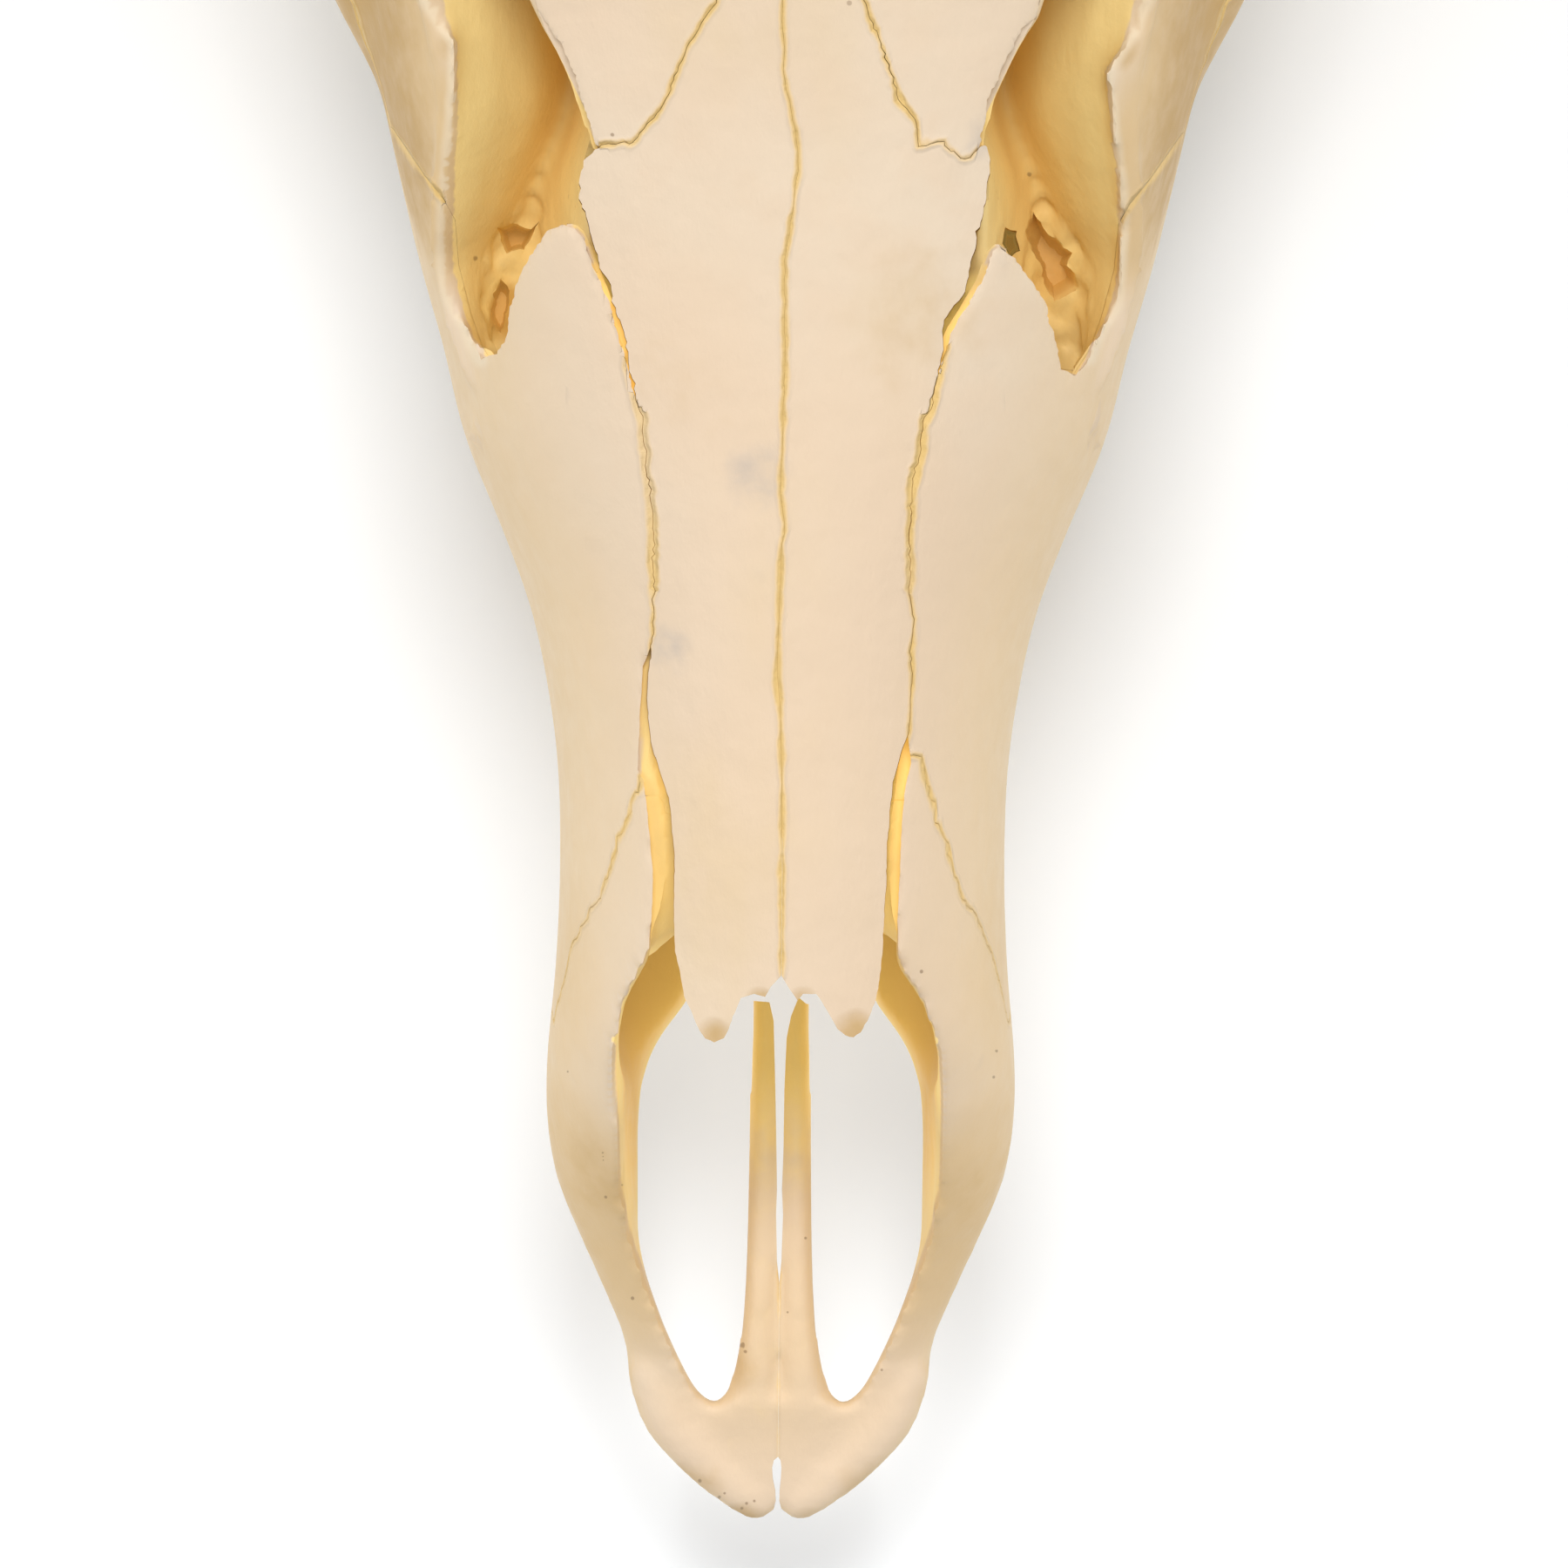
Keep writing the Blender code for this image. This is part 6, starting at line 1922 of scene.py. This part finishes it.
class Graph:
    """A node tree that is being wired."""

    def __init__(self, tree: bpy.types.NodeTree) -> None:
        """Keeps the tree."""
        self.tree = tree

    def node(
        self, kind: str, inputs: dict[int | str, object] | None = None, **settings: object
    ) -> bpy.types.Node:
        """Adds a node.

        Args:
            kind: Blender's name for the node.
            inputs: A constant or another node's socket for each input.
            settings: The node's own settings.

        Returns:
            The node.
        """
        made = self.tree.nodes.new(kind)
        for key, value in settings.items():
            setattr(made, key, value)
        for key, value in (inputs or {}).items():
            if isinstance(value, Socket):
                self.tree.links.new(value, made.inputs[key])
            else:
                made.inputs[key].default_value = value
        return made

    def attribute(self, name: str) -> Socket:
        """The value stored on the mesh under a name."""
        return self.node("ShaderNodeAttribute", attribute_name=name).outputs["Fac"]

    def clouds(self, scale: float, detail: float = 3.0, stretch: Row = (1.0, 1.0, 1.0)) -> Socket:
        """Even noise from 0 to 1 in the object's own coordinates, its features 1 / scale metres wide.

        Args:
            scale: the number of features to a metre.
            detail: how many finer layers.
            stretch: how much each direction is scaled.

        Returns:
            The noise.
        """
        place = self.node("ShaderNodeTexCoord").outputs["Object"]
        mapped = self.node("ShaderNodeMapping", {"Vector": place, "Scale": stretch}).outputs[0]
        inputs = {"Vector": mapped, "Scale": scale, "Detail": detail}
        return self.node("ShaderNodeTexNoise", inputs).outputs[0]

    def spots(self, scale: float) -> Socket:
        """The distance to the nearest of many scattered points."""
        place = self.node("ShaderNodeTexCoord").outputs["Object"]
        return self.node("ShaderNodeTexVoronoi", {"Vector": place, "Scale": scale}).outputs["Distance"]

    def marks(self, rows: Sequence[Row]) -> Socket:
        """How near, seen from above, the nearest of the (x, s, radius) marks is, as a share of its radius.

        Args:
            rows: the marks.

        Returns:
            The nearness.
        """
        place = self.node("ShaderNodeTexCoord").outputs["Object"]
        flat = self.node("ShaderNodeMapping", {"Vector": place, "Scale": (1.0, 1.0, 0.0)}).outputs[0]
        nearest = None
        for x, s, radius in rows:
            ends = {0: flat, 1: at(x, s, 0.0)}
            distance = self.node("ShaderNodeVectorMath", ends, operation="DISTANCE").outputs[1]
            share = self.math("DIVIDE", distance, radius * MM)
            nearest = share if nearest is None else self.math("MINIMUM", nearest, share)
        return nearest

    def fade(self, value: object, start: float, end: float, low: float = 0.0, high: float = 1.0) -> object:
        """A soft step from low at start to high at end.

        Args:
            value: the value that it follows.
            start: where it starts.
            end: where it ends.
            low: what it is before.
            high: what it is after.

        Returns:
            The step.
        """
        return self.node("ShaderNodeMapRange", {
            "Value": value, "From Min": start, "From Max": end, "To Min": low, "To Max": high,
        }, interpolation_type="SMOOTHSTEP").outputs[0]

    def math(self, operation: str, first: object, second: object = 0.0) -> Socket:
        """One sum."""
        return self.node("ShaderNodeMath", {0: first, 1: second}, operation=operation).outputs[0]

    def times(self, first: object, second: object) -> Socket:
        """Two values multiplied."""
        return self.math("MULTIPLY", first, second)

    def plus(self, value: object, other: object, share: object) -> Socket:
        """A value with a share of another added."""
        return self.math("ADD", value, self.times(other, share))

    def give(self, out: bpy.types.Node, **values: Socket) -> None:
        """Leads values to the inputs of those names."""
        for label, value in values.items():
            self.tree.links.new(value, out.inputs[label])

    def mix(self, factor: object, first: object, second: object, blend: str = "MIX") -> Socket:
        """Two colours mixed.

        Args:
            factor: the share of the second.
            first: one colour.
            second: the other colour.
            blend: the way of mixing.

        Returns:
            The mixed colour.
        """
        return self.node(
            "ShaderNodeMix", {0: factor, 6: first, 7: second}, data_type="RGBA", blend_type=blend
        ).outputs[2]


def shade_group(name: str, outputs: dict[str, str]) -> tuple[bpy.types.NodeTree, Graph, bpy.types.Node]:
    """An empty node group with the given outputs.

    Args:
        name: The group's name.
        outputs: The kind of socket for each output's name.

    Returns:
        The group, its graph and its output node.
    """
    tree = bpy.data.node_groups.new(name, "ShaderNodeTree")
    for label, kind in outputs.items():
        tree.interface.new_socket(label, in_out="OUTPUT", socket_type=kind)
    return tree, Graph(tree), tree.nodes.new("NodeGroupOutput")


@dataclass(frozen=True)
class Finish:
    """A finish, as the numbers of its Principled shader that don't vary."""

    name: str
    bump: float
    specular: float
    # Strength of a painted glow: light given off by the surface itself, though it is no lamp.
    glow: float = 0.0

    def build(self, group: bpy.types.NodeTree) -> bpy.types.Material:
        """A material that takes its colour, roughness and height from a group.

        Args:
            group: the group.

        Returns:
            The material.
        """
        made = bpy.data.materials.new(self.name)
        made.use_nodes = True
        graph = Graph(made.node_tree)
        shades = graph.node("ShaderNodeGroup")
        shades.node_tree = group
        relief = graph.node("ShaderNodeBump", {
            "Strength": 1.0, "Distance": self.bump * MM, "Height": shades.outputs["Height"],
        })
        shader = made.node_tree.nodes["Principled BSDF"]
        shader.inputs["Specular IOR Level"].default_value = self.specular
        graph.give(shader, **{
            "Base Color": shades.outputs["Colour"],
            "Roughness": shades.outputs["Roughness"],
            "Normal": relief.outputs[0],
        })
        # The painted glow, as emission.
        if self.glow:
            graph.give(shader, **{"Emission Color": shades.outputs["Glow"]})
            shader.inputs["Emission Strength"].default_value = self.glow
        return made


Colour = tuple[float, float, float, float]
SHADES = {"Colour": "NodeSocketColor", "Roughness": "NodeSocketFloat", "Height": "NodeSocketFloat"}


@dataclass(frozen=True)
class BoneShades:
    """The colours of dry, cleaned bone, with painted shade on side-facing surfaces and in deep recesses, and
    a painted glow in shaded hollows.
    """

    # Painted shade: a darker, more saturated colour for surfaces that face sideways, away from the light
    # above.
    flank: Colour = (0.74, 0.55, 0.31, 1.0)
    ivory: Colour = (0.74, 0.61, 0.46, 1.0)
    peach: Colour = (0.73, 0.57, 0.41, 1.0)
    butter: Colour = (0.69, 0.52, 0.29, 1.0)
    aged: Colour = (0.52, 0.33, 0.12, 1.0)
    wall: Colour = (0.88, 0.66, 0.27, 1.0)
    # The golden inner bone made darker and more orange further inside: partly the bone's colour, partly
    # painted shade in the recesses.
    deep: Colour = (0.85, 0.55, 0.16, 1.0)
    tan: Colour = (0.66, 0.46, 0.22, 1.0)
    brown: Colour = (0.60, 0.31, 0.07, 1.0)
    # Colour of the painted glow, golden light as if shining through thin bone.
    glow: Colour = (0.82, 0.60, 0.14, 1.0)
    dark: Colour = (0.0, 0.0, 0.0, 1.0)
    pit: Colour = (0.30, 0.09, 0.02, 1.0)
    lip: Colour = (0.79, 0.66, 0.47, 1.0)
    suture: Colour = (0.78, 0.53, 0.19, 1.0)
    smudge: Colour = (0.45, 0.40, 0.36, 1.0)
    speck: Colour = (0.16, 0.08, 0.03, 1.0)
    specks: tuple[Row, ...] = (
        (2.07, 22.1, 0.16), (8.3, 11.5, 0.15), (-11.8, 17.2, 0.16), (-14, 25.4, 0.14), (0.7, 16.1, 0.12),
        (-2.9, 0.2, 0.22), (-2.5, 0.6, 0.16), (-4.7, 1.1, 0.2), (-4.3, 1.4, 0.14), (-6.3, 2.4, 0.2),
        (-1.9, 0.8, 0.14), (-14.2, 28.4, 0.1), (-14.22, 28.7, 0.09), (-14.24, 29, 0.11), (-17.1, 35.5, 0.12),
        (11.2, 43.8, 0.16), (-24.9, 100.6, 0.26), (-2.95, 13.4, 0.24), (-2.7, 12.9, 0.16), (-4.1, 9.9, 0.2),
        (17.3, 37.4, 0.16), (17.1, 35.3, 0.16), (-13.9, 110.2, 0.18), (19.4, 107.6, 0.24),
        (-12.7, 26.4, 0.14),
    )

    def build(self) -> bpy.types.NodeTree:
        """Builds the group.

        Returns:
            The group.
        """
        tree, graph, out = shade_group("bone_shades", {**SHADES, "Glow": "NodeSocketColor"})
        broad = graph.clouds(24.0, 2.0)
        drift = graph.clouds(62.0, 4.0, (1.0, 0.45, 1.0))
        waver = graph.clouds(200.0, 5.0)
        fine = graph.clouds(420.0, 5.0)
        grain = graph.clouds(1500.0, 3.0, (1.0, 0.4, 1.0))
        facing = graph.node("ShaderNodeNewGeometry").outputs["True Normal"]
        upward = graph.node("ShaderNodeSeparateXYZ", {0: facing}).outputs["Z"]
        depth = graph.attribute("depth")
        inner = graph.plus(depth, fine, 0.03)
        outer = graph.fade(depth, 0.86, 0.93)
        tanned = graph.plus(graph.attribute("tanned"), drift, 0.5)
        aged = graph.plus(graph.attribute("aged"), fine, 0.6)
        brown = graph.plus(graph.attribute("browned"), fine, 0.5)
        grey = graph.times(graph.attribute("greyed"), fine)
        worn = graph.fade(graph.plus(graph.attribute("lip"), fine, 0.3), 0.3, 0.9, 0.0, 0.7)
        worn = graph.times(worn, graph.fade(inner, 0.95, 0.98))
        seam = graph.plus(graph.plus(graph.attribute("seam"), waver, 0.5), fine, 0.6)
        golden = graph.times(graph.fade(seam, 0.58, 1.04, 0.95, 0.0), outer)
        golden = graph.times(golden, graph.fade(drift, 0.36, 0.52, 0.6, 1.0))
        dots = graph.plus(graph.marks(self.specks), grain, 1.6)
        rare = graph.times(graph.fade(graph.spots(130.0), 0.02, 0.035, 0.4, 0.0), graph.fade(drift, 0.5, 0.6))
        colour = self.ivory
        for factor, shade in (
            (graph.fade(broad, 0.35, 0.68), self.peach),
            (graph.fade(drift, 0.5, 0.8, 0.0, 0.45), self.butter),
            (graph.fade(waver, 0.42, 0.66, 0.0, 0.4), self.peach),
            # Painted shade on surfaces that face sideways, by how far the normal points up.
            (graph.fade(upward, 0.15, 0.9, 0.8, 0.0), self.flank),
            (graph.fade(tanned, 0.3, 1.2, 0.0, 0.8), self.tan),
            (graph.fade(inner, 0.93, 0.97, 1.0, 0.0), self.wall),
            # Darker further inside: painted shade in the recesses, over the inner bone's own colour.
            (graph.fade(inner, 0.6, 0.88, 1.0, 0.0), self.deep),
            (graph.fade(aged, 0.45, 1.5, 0.0, 0.95), self.aged),
            (worn, self.lip),
            (graph.fade(brown, 0.45, 1.3), self.brown),
            (graph.fade(brown, 1.5, 2.0), self.pit),
            (graph.fade(grey, 0.12, 0.6, 0.0, 0.6), self.smudge),
            (golden, self.suture),
            (graph.fade(dots, 1.2, 1.8, 0.55, 0.0), self.speck),
            (rare, self.speck),
        ):
            colour = graph.mix(factor, colour, shade)
        rough = graph.fade(fine, 0.2, 0.8, 0.42, 0.6)
        height = graph.plus(graph.times(grain, 0.35), fine, 0.8)
        height = graph.plus(height, outer, graph.fade(seam, 0.35, 0.9, -1.8, 0.0))
        height = graph.plus(height, waver, graph.fade(seam, 0.7, 1.2, 1.6, 0.0))
        height = graph.plus(height, graph.clouds(170.0, 2.0), 1.6)
        height = graph.math("SUBTRACT", height, graph.fade(aged, 0.5, 1.2, 0.0, 0.7))
        # Painted glow: inner surfaces at the lit places give off golden light.
        through = graph.times(graph.attribute("lit"), graph.fade(inner, 0.95, 0.985, 1.0, 0.0))
        glow = graph.mix(graph.fade(through, 0.0, 1.0), self.dark, self.glow)
        graph.give(out, Colour=colour, Roughness=rough, Height=height, Glow=glow)
        return tree


@dataclass(frozen=True)
class ToothShades:
    """The colours of worn cheek teeth, stained towards the gum."""

    enamel: Colour = (0.80, 0.70, 0.52, 1.0)
    cream: Colour = (0.86, 0.79, 0.64, 1.0)
    stain: Colour = (0.22, 0.13, 0.06, 1.0)

    def build(self) -> bpy.types.NodeTree:
        """Builds the group.

        Returns:
            The group.
        """
        tree, graph, out = shade_group("tooth_shades", SHADES)
        place = graph.node("ShaderNodeTexCoord").outputs["Object"]
        height = graph.node("ShaderNodeSeparateXYZ", {0: place}).outputs["Z"]
        drift = graph.clouds(160.0, 4.0)
        colour = graph.mix(graph.fade(drift, 0.3, 0.7), self.enamel, self.cream)
        level = graph.plus(height, drift, 0.008)
        colour = graph.mix(graph.fade(level, 0.009, 0.017, 0.0, 0.85), colour, self.stain)
        hollow = graph.fade(graph.clouds(420.0, 3.0), 0.55, 0.75, 0.0, 0.5)
        colour = graph.mix(hollow, colour, self.stain)
        rough = graph.fade(drift, 0.3, 0.7, 0.25, 0.4)
        streaks = graph.clouds(900.0, 3.0, (1.0, 1.0, 0.15))
        graph.give(out, Colour=colour, Roughness=rough, Height=streaks)
        return tree


@dataclass(frozen=True)
class AntlerShades:
    """The colours of antler: brown and furrowed, pale and polished at the tips."""

    furrow: Colour = (0.13, 0.065, 0.03, 1.0)
    ridge: Colour = (0.40, 0.25, 0.13, 1.0)
    tip: Colour = (0.72, 0.58, 0.38, 1.0)

    def build(self) -> bpy.types.NodeTree:
        """Builds the group.

        Returns:
            The group.
        """
        tree, graph, out = shade_group("antler_shades", SHADES)
        broad = graph.clouds(30.0, 3.0)
        fine = graph.clouds(260.0, 5.0)
        colour = graph.mix(graph.fade(graph.math("ADD", broad, fine), 0.75, 1.25), self.furrow, self.ridge)
        worn = graph.plus(graph.attribute("worn"), fine, 0.4)
        colour = graph.mix(graph.fade(worn, 0.55, 1.1, 0.0, 0.9), colour, self.tip)
        pointed = graph.node("ShaderNodeNewGeometry").outputs["Pointiness"]
        colour = graph.mix(graph.fade(pointed, 0.52, 0.6, 0.0, 0.5), colour, self.ridge)
        rough = graph.fade(worn, 0.5, 1.1, 0.72, 0.36)
        graph.give(out, Colour=colour, Roughness=rough, Height=fine)
        return tree


@dataclass(frozen=True)
class Studio:
    """A pale floor, soft light and the camera that looks straight down on the snout."""

    distance: float = 3.0
    frame_width: float = 0.125
    aim_s: float = 58.7
    aim_x: float = 0.1
    face_level: float = 65.0
    roll: float = 0.4

    def build(self) -> None:
        """Makes the floor, the light and the camera."""
        Bench.deselect()
        bpy.ops.mesh.primitive_plane_add(size=6.0, location=(0.0, 0.0, -0.0004))
        floor = bpy.context.object
        floor.name = "pale_floor"
        bpy.ops.object.transform_apply(location=True, rotation=True, scale=True)
        paper = bpy.data.materials.new("pale_floor_paper")
        paper.use_nodes = True
        shader = paper.node_tree.nodes["Principled BSDF"]
        shader.inputs["Base Color"].default_value = (0.92, 0.945, 0.97, 1.0)
        shader.inputs["Roughness"].default_value = 0.9
        shader.inputs["Specular IOR Level"].default_value = 0.1
        floor.data.materials.append(paper)
        self._lights()
        self._camera()

    def _lights(self) -> None:
        """Large soft lights on both sides and an even sky."""
        world = bpy.data.worlds.new("pale_room")
        world.use_nodes = True
        background = world.node_tree.nodes["Background"]
        background.inputs["Color"].default_value = (1.0, 1.0, 1.0, 1.0)
        background.inputs["Strength"].default_value = 0.47
        bpy.context.scene.world = world
        for name, place, size, power in (
            ("overhead_softbox", (0.0, 1.3, 4.0), 1.4, 93.0),
            ("left_softbox", (-1.6, 0.2, 1.5), 1.0, 15.0),
            ("right_softbox", (1.6, 0.2, 1.5), 1.0, 13.0),
        ):
            Bench.deselect()
            bpy.ops.object.light_add(type="AREA", location=place)
            lamp = bpy.context.object
            lamp.name = name
            lamp.data.shape = "SQUARE"
            lamp.data.size = size
            lamp.data.energy = power
            aim = Vector((0.0, -0.08, 0.05)) - Vector(place)
            lamp.rotation_euler = aim.to_track_quat("-Z", "Y").to_euler()

    def _camera(self) -> None:
        """The camera above the snout, with the tip of the snout at the bottom of the image."""
        Bench.deselect()
        bpy.ops.object.camera_add()
        camera = bpy.context.object
        camera.name = "camera_above"
        camera.data.lens = camera.data.sensor_width * self.distance / self.frame_width
        camera.location = at(self.aim_x, self.aim_s, self.face_level) + Vector((0.0, 0.0, self.distance))
        camera.rotation_euler = (0.0, 0.0, math.radians(self.roll))
        bpy.context.scene.camera = camera
        bpy.context.scene.view_settings.view_transform = "Standard"


def hand_over(piece: Solid, finish: bpy.types.Material, node: str = "") -> None:
    """Gives a piece its finish and its place in the frame.

    Args:
        piece: The finished piece.
        finish: Its material.
        node: The node of the part that it stands for, if it stands for one.
    """
    piece.data.materials.clear()
    piece.data.materials.append(finish)
    Bench.smooth(piece)
    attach(piece, "root")
    if node:
        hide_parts(node)
    LOG.info("%s: %d faces", piece.name, len(piece.data.polygons))


def main() -> None:
    """Builds the piece and its studio, in order."""
    logging.basicConfig(level=logging.INFO, format="%(asctime)s %(message)s")
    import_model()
    Bench.deselect()
    detail = FINE
    # The bone's finish carries the painted glow, with strength 0.26.
    bone = Finish("dry_bone", 0.14, 0.3, 0.26).build(BoneShades().build())
    tooth = Finish("worn_enamel", 0.08, 0.5).build(ToothShades().build())
    horn = Finish("antler", 0.25, 0.4).build(AntlerShades().build())
    for node, piece in Skull(detail).build().items():
        hand_over(piece, bone, node)
    for side in Side:
        hand_over(Teeth().build(side), tooth)
        for node, piece in Antler().build(side, detail).items():
            hand_over(piece, horn, node)
    Studio().build()


if __name__ == "__main__":
    main()
